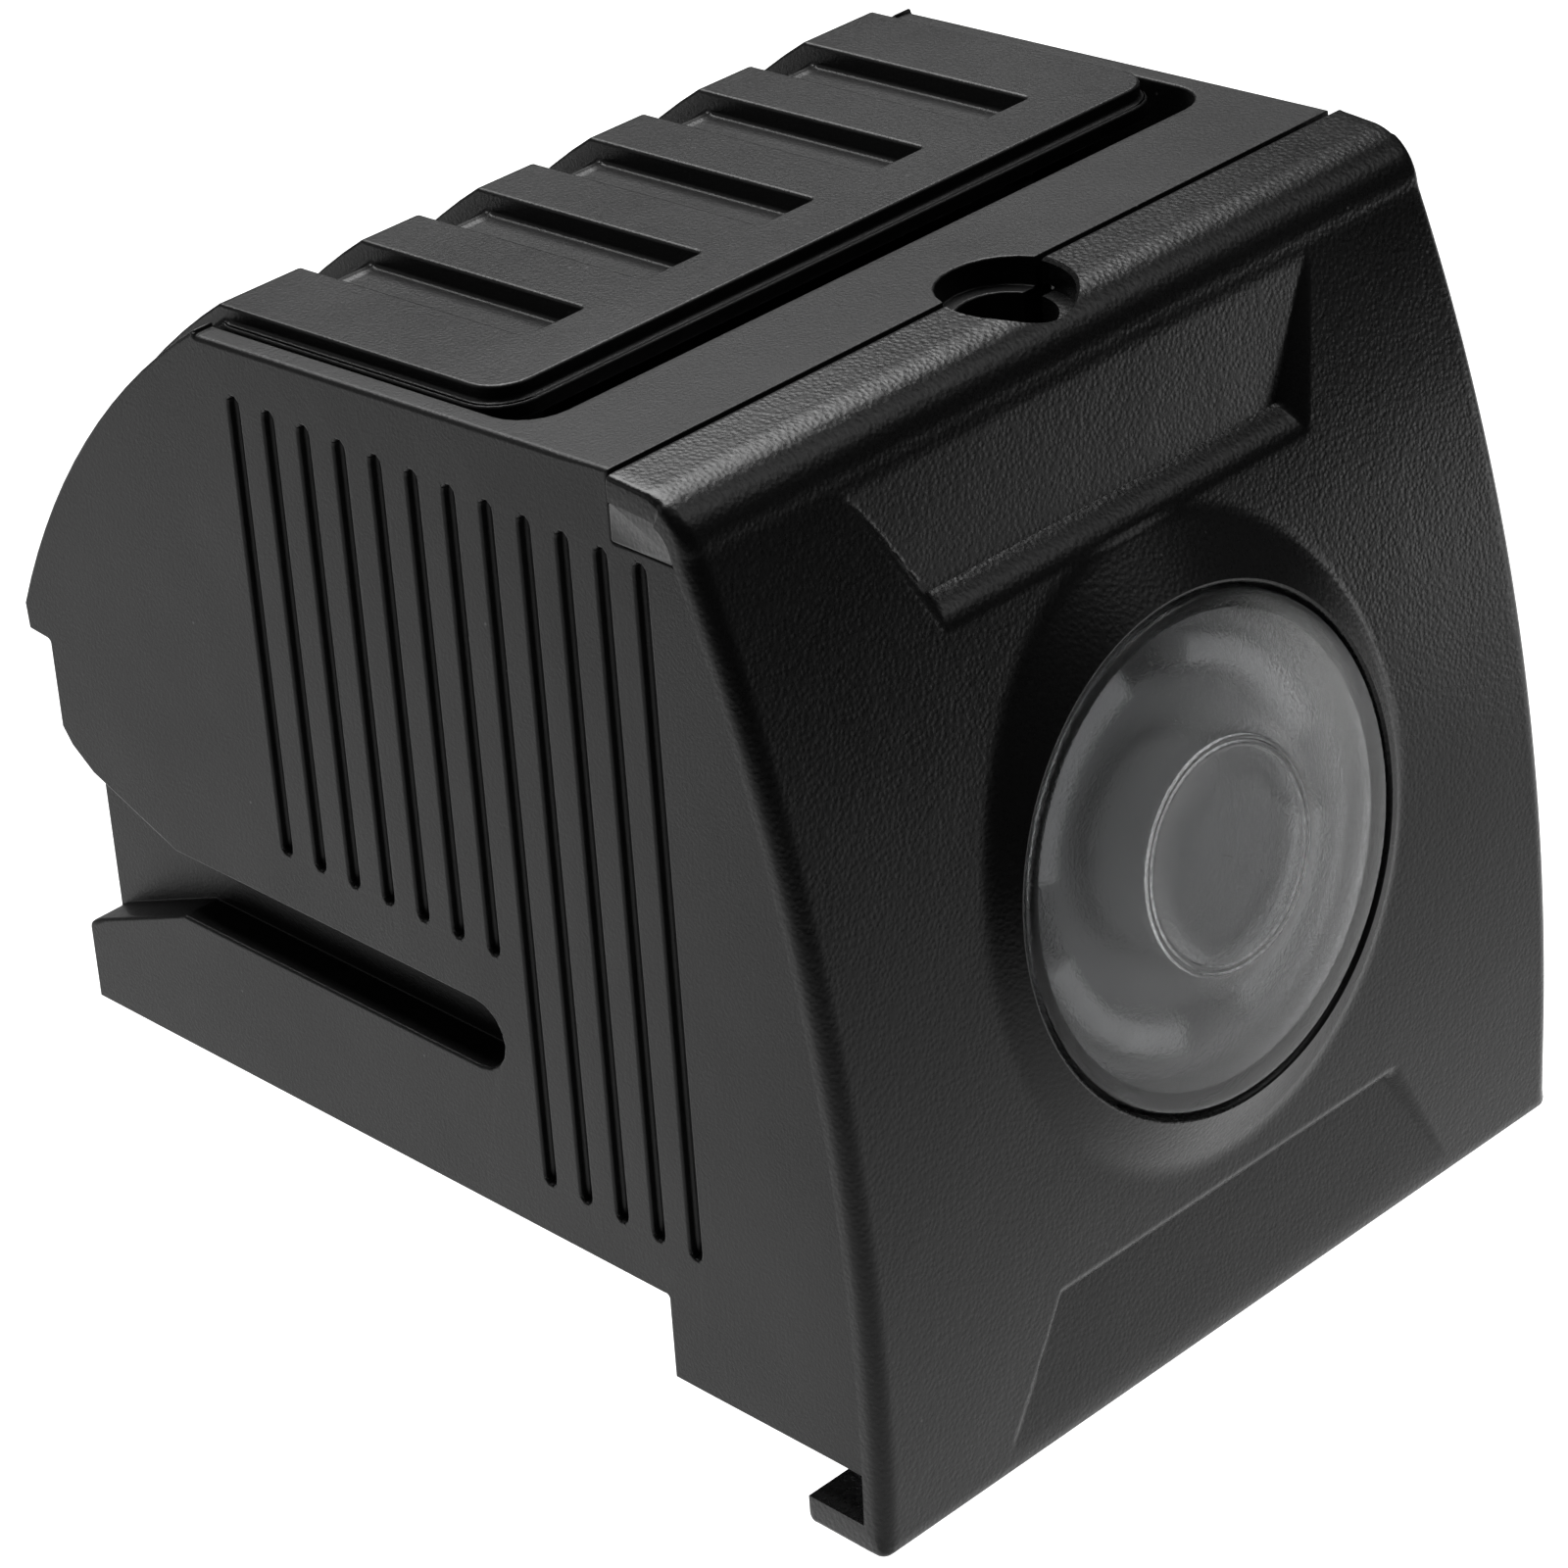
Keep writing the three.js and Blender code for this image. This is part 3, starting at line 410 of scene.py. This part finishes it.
def on_face(x, rise):
    """Where the line along the lens axis meets the front face, in the module's mm."""
    along = 0.0
    for _ in range(6):
        p = lens_frame(x, along, rise)
        gap = p.y - face_at(p.z)
        along -= gap / (AXIS.y - face_slope(p.z) * AXIS.z)
    return lens_frame(x, along, rise)


def swell(x, y, z):
    """How far the low cone around the lens stands out of the face, along the lens axis."""
    p = Vector((x, y, z)) - CENTRE
    along, radius = p.dot(AXIS), math.hypot(x, p.dot(RISE))
    cone = SHOULDER_TOP + max(0.0, radius - SHOULDER_R) * SHOULDER_SLOPE
    over = along - cone
    soft = SHOULDER_SOFT
    if z > UPPER["edge"] or over < -soft:
        return 0.0
    return over if over > soft else (over + soft) ** 2 / (4 * soft)


def on_swell(x, rise):
    p = on_face(x, rise)
    return p - AXIS * swell(p.x, p.y, p.z)


def ease(t):
    """How far down a pocket's wall is: a soft outer edge and a crisp foot."""
    t = min(max(t, 0.0), 1.0)
    return 0.2 * t + 0.8 * t * t


# The shallow pockets. Each has its height next to the lens and at its far end, its half width at
# both, the rise of its ledge, the width of its side walls and its depth.
UPPER = {
    "edge": 58.3, "far": 68.6, "half": 17.5, "far_half": 22.2, "ramp": 2.4, "wall": 1.75, "depth": 1.5,
}
LOWER = {
    "edge": 12.2, "far": 1.8, "half": 17.25, "far_half": 22.8, "ramp": -1.2, "wall": 1.0, "depth": 0.8,
}


def pocket_half(pocket, z):
    t = (z - pocket["edge"]) / (pocket["far"] - pocket["edge"])
    return pocket["half"] + (pocket["far_half"] - pocket["half"]) * min(max(t, 0.0), 1.0)


def fanned(x, z):
    """Slides a column of the grid sideways, so that columns follow the pockets' slanted sides."""
    if z > UPPER["edge"]:
        shift = pocket_half(UPPER, min(z, UPPER["far"])) - UPPER["half"]
    elif z < LOWER["edge"]:
        shift = pocket_half(LOWER, max(z, LOWER["far"])) - LOWER["half"]
    else:
        return x
    across = abs(x)
    reach = min((across - 5) / 10, (33 - across) / 14.5)
    return x + math.copysign(shift * min(max(reach, 0.0), 1.0), x)


def pocket_depth(x, z):
    """How deep the shallow pockets above and below the lens are at a point of the face."""
    deepest = 0.0
    for pocket in (UPPER, LOWER):
        foot = pocket["edge"] + pocket["ramp"]
        run = (pocket["far"] - z) / (pocket["far"] - foot)
        floor = pocket["depth"] * min(max(run, 0.0), 1.0)
        ledge = pocket["depth"] * ease((z - pocket["edge"]) / pocket["ramp"])
        wall = pocket["depth"] * ease((pocket_half(pocket, z) - abs(x)) / pocket["wall"])
        deepest = max(deepest, min(floor, ledge, wall))
    return deepest


def spaced(start, end, step):
    count = max(1, round(abs(end - start) / step))
    return [start + (end - start) * i / count for i in range(count + 1)]


def run_of(*stops):
    """Values through stops of (value, step to the next stop)."""
    values = [stops[0][0]]
    for (a, step), (b, _) in zip(stops, stops[1:]):
        values += spaced(a, b, step)[1:]
    return values


def cover_rows():
    """The cover's section, from the seam down to the lip: outer point, side radius, half width."""
    rows = []
    nose = 0.16
    for i in range(4):
        a = math.pi / 2 * i / 3
        y, z = SEAM_Y - nose * (1 - math.cos(a)), TOP_Z - nose * (1 - math.sin(a))
        rows.append((y, z, 0.35, TOP_HALF))
    for y in spaced(SEAM_Y - nose - 0.2, CORNER_Y + 0.2, 0.4):
        rows.append((y, TOP_Z - 0.05 * (SEAM_Y - y), 0.4, TOP_HALF))
    for i in range(25):
        a = math.radians(90 + 77.4 * i / 24)
        half = TOP_HALF if i < 8 else FACE_HALF
        y, z = CORNER_Y + CORNER_R * math.cos(a), CORNER_Z + CORNER_R * math.sin(a)
        rows.append((y, z, 0.4 + i / 30, half))
    heights = run_of(
        (69.0, 0.4), (61.5, 0.2), (57.85, 0.4), (LENS_Z + PATCH, 0.4),
        (LENS_Z - PATCH, 0.4), (12.6, 0.15), (10.4, 0.4), (1.0, 0.4),
    )
    for z in heights:
        rows.append((face_at(z), z, 1.25, FACE_HALF))
    corner = 0.6
    for i in range(1, 6):
        a = math.pi / 2 * i / 5
        y, z = face_at(corner) + corner * (1 - math.cos(a)), corner * (1 - math.sin(a))
        rows.append((y, z, 1.1 - 0.1 * i, FACE_HALF))
    for y in spaced(1.4, LIP_Y - 0.5, 0.8):
        rows.append((y, 0.0, 0.5, FACE_HALF))
    for i in range(1, 5):
        a = math.pi / 2 * i / 4
        y, z = LIP_Y - 0.5 + 0.5 * math.sin(a), 0.5 * (1 - math.cos(a))
        rows.append((y, z, 0.4, FACE_HALF))
    return rows


def inner_point(y, z, normal):
    """The point of the cover's inner surface that goes with an outer one."""
    inner_y, inner_z = y - normal[0] * SKIN, z - normal[1] * SKIN
    if z > 6:
        return inner_y, inner_z
    if z > 0.61:
        t = (6 - z) / 5.4
        height = 6 - (6 - LIP_TOP) * t
        return face_at(height) + SKIN, height
    start = face_at(LIP_TOP) + SKIN
    t = min(max((y - 0.1) / (LIP_Y - 0.1), 0.0), 1.0)
    return start + 0.01 + (LIP_Y - start - 0.01) * t, LIP_TOP


def outward(rows, index):
    """The outward direction (y, z) of the cover's section at a row."""
    y, z = rows[index][:2]
    if y > CORNER_Y and z > CORNER_Z:
        return 0.0, 1.0
    before, after = rows[max(0, index - 1)], rows[min(len(rows) - 1, index + 1)]
    along = Vector((after[0] - before[0], after[1] - before[1])).normalized()
    normal = (along[1], -along[0])
    if normal[0] * (y - 30) + normal[1] * (z - 30) < 0:
        return -normal[0], -normal[1]
    return normal


class Sheet:
    """Points and faces that are collected for one mesh."""

    def __init__(self):
        self.points = []
        self.faces = []

    def put(self, p):
        """Adds a point in the module's mm, and gives its index."""
        self.points.append(lip(*p))
        return len(self.points) - 1

    def place(self, index):
        """The point's place in the module's mm."""
        return self.points[index] / MM + ORIGIN

    def stitch(self, a, b, flip=False):
        """Joins two closed loops of points."""
        for i in range(len(a)):
            j = (i + 1) % len(a)
            quad = (a[i], a[j], b[j], b[i])
            self.faces.append(quad[::-1] if flip else quad)


def rounded_side(sheet, sign, row, base, inwards, thick):
    """One side edge of the cover at a row, from the inner corner round to the face."""
    _, _, radius, half = row
    made = [sheet.put(Vector((sign * half, 0, 0)) + base + inwards * thick)]
    for i in range(WALL_STEPS + 1):
        a = math.pi / 2 * i / WALL_STEPS
        x = half - radius * (1 - math.cos(a))
        depth = radius * (1 - math.sin(a))
        made.append(sheet.put(Vector((sign * x, 0, 0)) + base + inwards * depth))
    return made


def cover_grid(sheet, rows, columns):
    """The outer and the inner points of the cover, row by row."""
    outer, inner = [], []
    for index, row in enumerate(rows):
        y, z = row[:2]
        iy, iz = inner_point(y, z, outward(rows, index))
        inwards = Vector((0, iy - y, iz - z))
        thick = inwards.length
        inwards.normalize()
        base = Vector((0, y, z))
        on_the_face = 0.9 < z < 69.2 and y < 14
        left = rounded_side(sheet, -1, row, base, inwards, thick)
        middle, behind = [], []
        for x in columns:
            wide = fanned(x, z)
            sunk = pocket_depth(wide, z) if on_the_face else 0.0
            proud = swell(wide, y, z) if on_the_face else 0.0
            across = Vector((wide, 0, 0)) + base
            middle.append(sheet.put(across + inwards * sunk - AXIS * proud))
            behind.append(sheet.put(across + inwards * (thick + 0.7 * sunk)))
        right = rounded_side(sheet, 1, row, base, inwards, thick)[::-1]
        outer.append(left + middle + right)
        inner.append([left[0]] + behind + [right[-1]])
    return outer, inner


def lens_patch(sheet, border):
    """Rings from a square border of (outer, inner) points in to the edge of the lens hole."""
    hole, fillet = LENS_R + 0.3, 0.3
    rings, rounds = 18, 4
    outside = [[] for _ in range(rings + rounds)]
    inside = [[] for _ in range(rings + 1)]
    for out_index, _ in border:
        p = sheet.place(out_index) - CENTRE
        flat = Vector((p.x, p.dot(RISE)))
        edge = flat.normalized()
        for k in range(rings):
            q = flat.lerp(edge * (hole + fillet), ((k + 1) / rings) ** 0.8)
            outside[k].append(sheet.put(on_swell(q[0], q[1])))
            inside[k].append(sheet.put(on_face(q[0], q[1]) + AXIS * SKIN))
        for k in range(1, rounds + 1):
            a = math.pi / 2 * k / rounds
            q = edge * (hole + fillet * (1 - math.sin(a)))
            along = SHOULDER_TOP + fillet * (1 - math.cos(a))
            outside[rings + k - 1].append(sheet.put(lens_frame(q[0], along, q[1])))
        q = edge * hole
        inside[rings].append(sheet.put(on_face(q[0], q[1]) + AXIS * SKIN))
    front = [[o for o, _ in border]] + outside
    back = [[i for _, i in border]] + inside
    for a, b in zip(front, front[1:]):
        sheet.stitch(a, b)
    for a, b in zip(back, back[1:]):
        sheet.stitch(a, b, True)
    sheet.stitch(front[-1], back[-1])


def cover_sheet():
    """The curved sheet of the cover with its rounded sides, lens hole and pockets."""
    rows = cover_rows()
    columns = run_of(
        (-33.2, 0.5), (-PATCH, 0.25), (-15, 0.5), (15, 0.25), (PATCH, 0.5), (33.2, 0.5)
    )
    sheet = Sheet()
    outer, inner = cover_grid(sheet, rows, columns)

    # The square that is left open for the lens hole's patch.
    low, high = LENS_Z - PATCH - 0.01, LENS_Z + PATCH + 0.01
    within = [r for r, row in enumerate(rows) if low < row[1] < high and row[0] < 14]
    top, bottom = within[0], within[-1]
    shift = WALL_STEPS + 1  # how many more columns an outer row has on each side
    first = columns.index(-PATCH) + 1
    last = columns.index(PATCH) + 1

    def cell_open(r, c):
        return top <= r < bottom and first <= c < last

    for r in range(len(rows) - 1):
        for c in range(len(outer[0]) - 1):
            if not cell_open(r, c - shift):
                quad = (outer[r][c], outer[r][c + 1], outer[r + 1][c + 1], outer[r + 1][c])
                sheet.faces.append(quad)
        for c in range(len(inner[0]) - 1):
            if not cell_open(r, c):
                quad = (inner[r][c], inner[r + 1][c], inner[r + 1][c + 1], inner[r][c + 1])
                sheet.faces.append(quad)
    sheet.faces.append(tuple((outer[0] + inner[0][-2:0:-1])[::-1]))
    sheet.faces.append(tuple(outer[-1] + inner[-1][-2:0:-1]))

    around = [(top, c) for c in range(first, last)]
    around += [(r, last) for r in range(top, bottom)]
    around += [(bottom, c) for c in range(last, first, -1)]
    around += [(r, first) for r in range(bottom, top, -1)]
    lens_patch(sheet, [(outer[r][c + shift], inner[r][c]) for r, c in around])
    return mesh_of("front_cover_sheet", sheet.points, sheet.faces)


def prism(outline, x0, x1):
    """An outline of (y, z) in mm, carried across from x0 to x1."""
    points = [lip(x, y, z) for x in (x0, x1) for y, z in outline]
    n = len(outline)
    faces = [tuple(range(n)), tuple(range(2 * n - 1, n - 1, -1))]
    faces += [(i, n + i, n + (i + 1) % n, (i + 1) % n) for i in range(n)]
    return points, faces


def drum(radius, x, y, z0, z1, sides=72, half=0):
    """An upright drum; half is -1 for its front half, and 1 for its back half."""
    ring = []
    for i in range(sides + (1 if half else 0)):
        a = math.pi * (i / sides) * (2 if not half else 1) + (math.pi if half < 0 else 0)
        ring.append((x + radius * math.cos(a), y + radius * math.sin(a)))
    n = len(ring)
    points = [lip(px, py, z) for z in (z0, z1) for px, py in ring]
    faces = [tuple(range(n - 1, -1, -1)), tuple(range(n, 2 * n))]
    faces += [(i, (i + 1) % n, n + (i + 1) % n, n + i) for i in range(n)]
    return points, faces


def closed(name, made):
    mesh = mesh_of(name, *made)
    tidy_mesh(mesh, 180)
    return mesh


def cover_top(y):
    """Height of the cover's top and corner at a depth."""
    if y >= CORNER_Y:
        return TOP_Z - 0.05 * (SEAM_Y - y)
    return CORNER_Z + math.sqrt(CORNER_R**2 - (CORNER_Y - y) ** 2)


def hole_chamfer(height, width=0.24, sides=96):
    """A ring of square section, standing on its corner along the hole's edge."""
    points, faces = [], []
    for i in range(sides):
        a = 2 * math.pi * i / sides
        y = HOLE_Y + MOUTH_R * math.sin(a)
        z = height(y)
        for dr, dz in ((-width, 0), (0, -width), (width, 0), (0, width)):
            r = MOUTH_R + dr
            points.append(lip(r * math.cos(a), HOLE_Y + r * math.sin(a), z + dz))
    for i in range(sides):
        j = (i + 1) % sides
        for k in range(4):
            m = (k + 1) % 4
            faces.append((i * 4 + k, j * 4 + k, j * 4 + m, i * 4 + m))
    return points, faces


def front_cover():
    sheet = cover_sheet()
    tidy_mesh(sheet, 180)
    tab = [(12.3, 68.25), (SEAM_Y, 68.25), (SEAM_Y, 72.3), (15.2, 72.25), (13.2, 71.6), (12.0, 70.2)]
    tabs = []
    for side in (-1, 1):
        edge = sorted((side * 31.8, side * (TOP_HALF - 0.01)))
        tabs.append(bevelled(closed("tab", prism(tab, *edge)), lambda p, convex: 0.18, 0.18, 2))
    tube = closed("tube", drum(TUBE_R, 0, HOLE_Y, TUBE_LOW, TUBE_HIGH, half=-1))
    under = [(SEAM_Y, 60), (SEAM_Y, 71.8), (CORNER_Y, 71.7)]
    for i in range(1, 13):
        a = math.radians(90 + 77 * i / 12)
        r = CORNER_R - SKIN / 2
        under.append((CORNER_Y + r * math.cos(a), CORNER_Z + r * math.sin(a)))
    tube = joined(tube, [closed("under", prism(under + [(12, 60)], -9, 9))], "INTERSECT")
    sheet = joined(sheet, tabs + [tube], "UNION")
    cuts = [
        closed("bore", drum(HOLE_R, 0, HOLE_Y, HOLE_LOW, TOP_Z + 2)),
        closed("mouth", drum(MOUTH_R, 0, HOLE_Y, TOP_Z - MOUTH_DEPTH, TOP_Z + 2)),
        closed("chamfer", hole_chamfer(cover_top)),
    ]
    cover = joined(sheet, cuts)
    tidy_mesh(cover, 38)
    return settle("cover_shell", cover, "cover_plastic", "module", ["front_cover"])


front_cover()


# ---- housing, slider and the other moulded pieces -------------------------------------------
def housing_width(p, convex):
    across = abs(p.x)
    if across > 33.9 and p.z > 69 and 19.2 < p.y < 57.5:
        return 0.4
    if across > 31 and p.y > 77.5 and 16 < p.z < 19.5:
        return 0.4
    if across > 33.2:
        grooved = 15.5 < p.y < 55 and 15.7 < p.z < 67.4 and (p.z > 30 or p.y < 31.5)
        if grooved:
            return 0.2 if across > 33.8 else 0.24
        return 0.3 if p.z > 30 else 0.25
    if p.z > 40 and convex:
        return 0.2 if p.y > 20 else 0.1
    return 0.15


def slider_width(p, convex):
    if not convex:
        return 0.35 if p.z > 50 else 0.15
    outside = abs(p.x) > 30 or p.y < 32
    return 0.22 if outside else 0.26


def from_cad(node, name, slot, body, width_at, largest, segments=3, cuts=()):
    mesh = bevelled(nodes[node].data.copy(), width_at, largest, segments, cuts)
    return settle(name, mesh, slot, body, [node])


GROOVE_CUTS = [("y", 54.2 - 3.43 * i) for i in range(12)]
SCREW_CUTS = [("x", x) for x in (-25, 25, -29.4, 29.4)] + [("y", y) for y in (9, 25, 71, 42.9)]
from_cad(
    "main_housing", "housing_shell", "housing_plastic", "module", housing_width, 0.4,
    cuts=GROOVE_CUTS + SCREW_CUTS,
)
from_cad("release_slider", "slider_plate", "slider_plastic", "slider", slider_width, 0.35)
PLATE_CUTS = [("x", x) for x in (-25, 25, -22, 22)] + [("y", y) for y in (25, 71, 33, 50)]
from_cad(
    "bottom_plate", "base_plate", "plain_plastic", "module", lambda p, c: 0.2, 0.2, 2,
    cuts=PLATE_CUTS + [("x", 0), ("y", 58.5)],
)
from_cad("contact_block", "contact_holder", "plain_plastic", "module", lambda p, c: 0.2, 0.2, 2)
from_cad("latch_bolt", "bolt_plate", "steel", "bolt", lambda p, c: 0.15, 0.15, 2)


# ---- lens and what shows through it ---------------------------------------------------------
def lens():
    outside = [
        (20.2, 6.0), (20.2, 4.6), (17.4, 4.6), (17.4, -0.9), (17.34, -1.08), (17.2, -1.2),
        (16.9, -1.3), (15.9, -1.5), (14.5, -1.75), (12.8, -1.98), (11.2, -2.15), (9.4, -2.3),
        (8.15, -2.37), (8.08, -2.4), (8.04, -2.48), (7.98, -2.56), (7.9, -2.58), (7.8, -2.52),
        (7.72, -2.42), (7.64, -2.42), (7.56, -2.52), (7.46, -2.6), (7.36, -2.58), (7.28, -2.5),
        (7.2, -2.46), (5.0, -2.6), (2.5, -2.66), (0.02, -2.68),
    ]
    inside = [
        (0.02, -1.3), (4.0, -1.27), (8.0, -1.1), (10.0, -0.9), (12.6, -0.6), (14.6, -0.2),
        (15.9, 0.0), (15.9, 6.0),
    ]
    mesh = mesh_of("lens", *lathe(outside + inside, 128, in_lens))
    tidy_mesh(mesh, 50)
    return settle("lens_disc", mesh, "lens_plastic", "module", ["lens"])


def reflector():
    profile = [
        (5.0, 8.2), (5.0, 6.6), (5.4, 6.0), (6.0, 5.5), (6.6, 5.3), (7.45, 5.3), (7.5, 5.0),
        (7.7, 4.9), (11.65, 3.5), (11.75, 3.6), (11.8, 5.3), (14.2, 5.3), (14.25, 2.8), (14.35, 2.65),
        (15.2, 2.3), (15.35, 2.4), (15.4, 6.3), (20.2, 6.3), (20.2, 9.7), (17.6, 9.7), (17.6, 8.2),
    ]
    mesh = mesh_of("reflector", *lathe(profile, 96, in_lens))
    tidy_mesh(mesh, 40)
    return settle("reflector_dish", mesh, "reflector_plastic", "module", ["reflector"])


def diffuser():
    profile = [
        (0.02, 4.1), (6.9, 4.1), (7.1, 4.16), (7.2, 4.3), (7.2, 5.0), (0.02, 5.0),
    ]
    mesh = mesh_of("diffuser", *lathe(profile, 96, in_lens))
    tidy_mesh(mesh, 50)
    return settle("diffuser_disc", mesh, "reflector_plastic", "module", ["centre_diffuser"])


def light_guide(index, start, end):
    """An arc of the ring light guide, between two angles in degrees, with rounded edges."""
    section = [
        (12.0, 5.0), (12.0, 2.3), (12.08, 2.08), (12.3, 2.0), (13.7, 2.0), (13.92, 2.08),
        (14.0, 2.3), (14.0, 5.0),
    ]
    points, faces = [], []
    steps, n = 40, len(section)
    for i in range(steps + 1):
        a = math.radians(start + (end - start) * i / steps)
        points += [in_lens(r * math.cos(a), along, r * math.sin(a)) for r, along in section]
    for i in range(steps):
        for k in range(n):
            m = (k + 1) % n
            faces.append((i * n + k, i * n + m, (i + 1) * n + m, (i + 1) * n + k))
    faces += [tuple(range(n - 1, -1, -1)), tuple(range(steps * n, steps * n + n))]
    mesh = mesh_of("guide", points, faces)
    tidy_mesh(mesh, 50)
    node = f"light_guide_{index}"
    return settle(f"light_guide_arc_{index}", mesh, "guide_plastic", "module", [node])


lens()
reflector()
diffuser()
for i in range(4):
    light_guide(i + 1, 13 + 90 * i, 77 + 90 * i)


# ---- springs, and the materials of the CAD nodes --------------------------------------------
def coil(name, coil_r, wire_r, length, turns, place, node):
    """A compression spring whose end turns close up, as one tube along a helix."""
    points, faces = [], []
    per_turn, ring = 28, 10
    steps = turns * per_turn
    for i in range(steps + 1):
        a = 2 * math.pi * i / per_turn
        t = i / steps
        dead = 0.8 / turns
        run = min(max((t - dead) / (1 - 2 * dead), 0.0), 1.0)
        along = wire_r * (1 + 2 * min(t, dead) / dead * 0.5)
        along += (length - 4 * wire_r) * run + wire_r * max(0.0, (t - 1 + dead) / dead)
        for k in range(ring):
            b = 2 * math.pi * k / ring
            r = coil_r + wire_r * math.cos(b)
            points.append(place(r * math.cos(a), r * math.sin(a), along + wire_r * math.sin(b)))
    for i in range(steps):
        for k in range(ring):
            m = (k + 1) % ring
            faces.append((i * ring + k, i * ring + m, (i + 1) * ring + m, (i + 1) * ring + k))
    faces += [tuple(range(ring - 1, -1, -1)), tuple(range(steps * ring, steps * ring + ring))]
    mesh = mesh_of(name, points, faces)
    tidy_mesh(mesh, 60)
    return settle(name, mesh, "steel", "module", [node])


for side, word in ((-1, "left"), (1, "right")):
    spring = coil(
        f"coil_slider_{word}", 1.9, 0.3, 11.9, 8,
        lambda a, b, along, side=side: lip(side * 20 + a, 44.1 + along, 66.5 + b),
        f"slider_spring_{word}",
    )
    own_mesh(spring)
spring = coil(
    "coil_bolt", 2.2, 0.32, 10.7, 7,
    lambda a, b, along: lip(a, 52.8 + b, 61.1 - along),
    "bolt_spring",
)
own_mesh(spring)

slots = {part["node"]: part["material_slot"] for part in frame["record"]["subparts"]}
for node, obj in nodes.items():
    if obj.type == "MESH":
        obj.data.materials.clear()
        obj.data.materials.append(MATERIALS[slots[node]])

# ---- stage ----------------------------------------------------------------------------------
scene = bpy.context.scene


def sheet_object(name, half, z):
    mesh = mesh_of(
        name,
        [(-half, -half, z), (half, -half, z), (half, half, z), (-half, half, z)],
        [(0, 1, 2, 3)],
    )
    obj = loose(name, mesh)
    return obj


FLOOR_HALF, FLOOR_Z = 4.0, -0.18
floor = sheet_object("floor", FLOOR_HALF, FLOOR_Z)
floor_nodes = Nodes("pale_floor")
tone = floor_nodes.fit(floor_nodes.noise(3.0, 2.0), 0.3, 0.7, 0.88, 0.92)
floor_nodes.set(Base_Color=tone, Roughness=0.9)
floor.data.materials.append(floor_nodes.material)


def area_light(name, position, target, size, power, spread=180.0):
    data = bpy.data.lights.new(name, "AREA")
    data.shape = "SQUARE"
    data.size = size
    data.energy = power
    data.spread = math.radians(spread)
    obj = bpy.data.objects.new(name, data)
    scene.collection.objects.link(obj)
    obj.location = position
    obj.visible_camera = False
    obj.rotation_euler = (Vector(target) - Vector(position)).to_track_quat("-Z", "Y").to_euler()
    return obj


area_light("top_softbox", (0.27, 0.46, 0.87), (0.25, 0.3, -0.18), 0.9, 14.5, 130.0)
area_light("left_softbox", (-0.9, 0.7, 0.35), (-0.1, 0.1, 0), 0.6, 0.5)
area_light("front_softbox", (0.5, -0.4, 0.7), (0, 0, 0.02), 0.4, 0.04, 40.0)
area_light("right_card", (0.5, -0.38, -0.08), (0, 0, 0.0), 0.14, 0.02, 60.0)
world = bpy.data.worlds.new("studio")
world.use_nodes = True
world.node_tree.nodes["Background"].inputs["Color"].default_value = (1, 1, 1, 1)
world.node_tree.nodes["Background"].inputs["Strength"].default_value = 0.02
scene.world = world
scene.view_settings.view_transform = "Standard"

# ---- camera ---------------------------------------------------------------------------------
AZIMUTH, ELEVATION, ROLL = math.radians(-43.64), math.radians(29.81), math.radians(-3.958)
FOCAL = 125.98
CAMERA_AT = (-231.129, -201.581, 219.486)  # in the module's mm
back = Vector(
    (
        math.sin(AZIMUTH) * math.cos(ELEVATION),
        -math.cos(AZIMUTH) * math.cos(ELEVATION),
        math.sin(ELEVATION),
    )
)
right = Vector((0, 0, 1)).cross(back).normalized()
up = back.cross(right)
rolled_right = right * math.cos(ROLL) + up * math.sin(ROLL)
rolled_up = up * math.cos(ROLL) - right * math.sin(ROLL)
camera_data = bpy.data.cameras.new("camera")
camera_data.sensor_width = 36.0
camera_data.lens = FOCAL
camera_data.clip_start = 0.01
camera = bpy.data.objects.new("camera", camera_data)
scene.collection.objects.link(camera)
turn = Matrix((rolled_right, rolled_up, back)).transposed()
camera.matrix_world = Matrix.Translation(lip(*CAMERA_AT)) @ turn.to_4x4()
scene.camera = camera
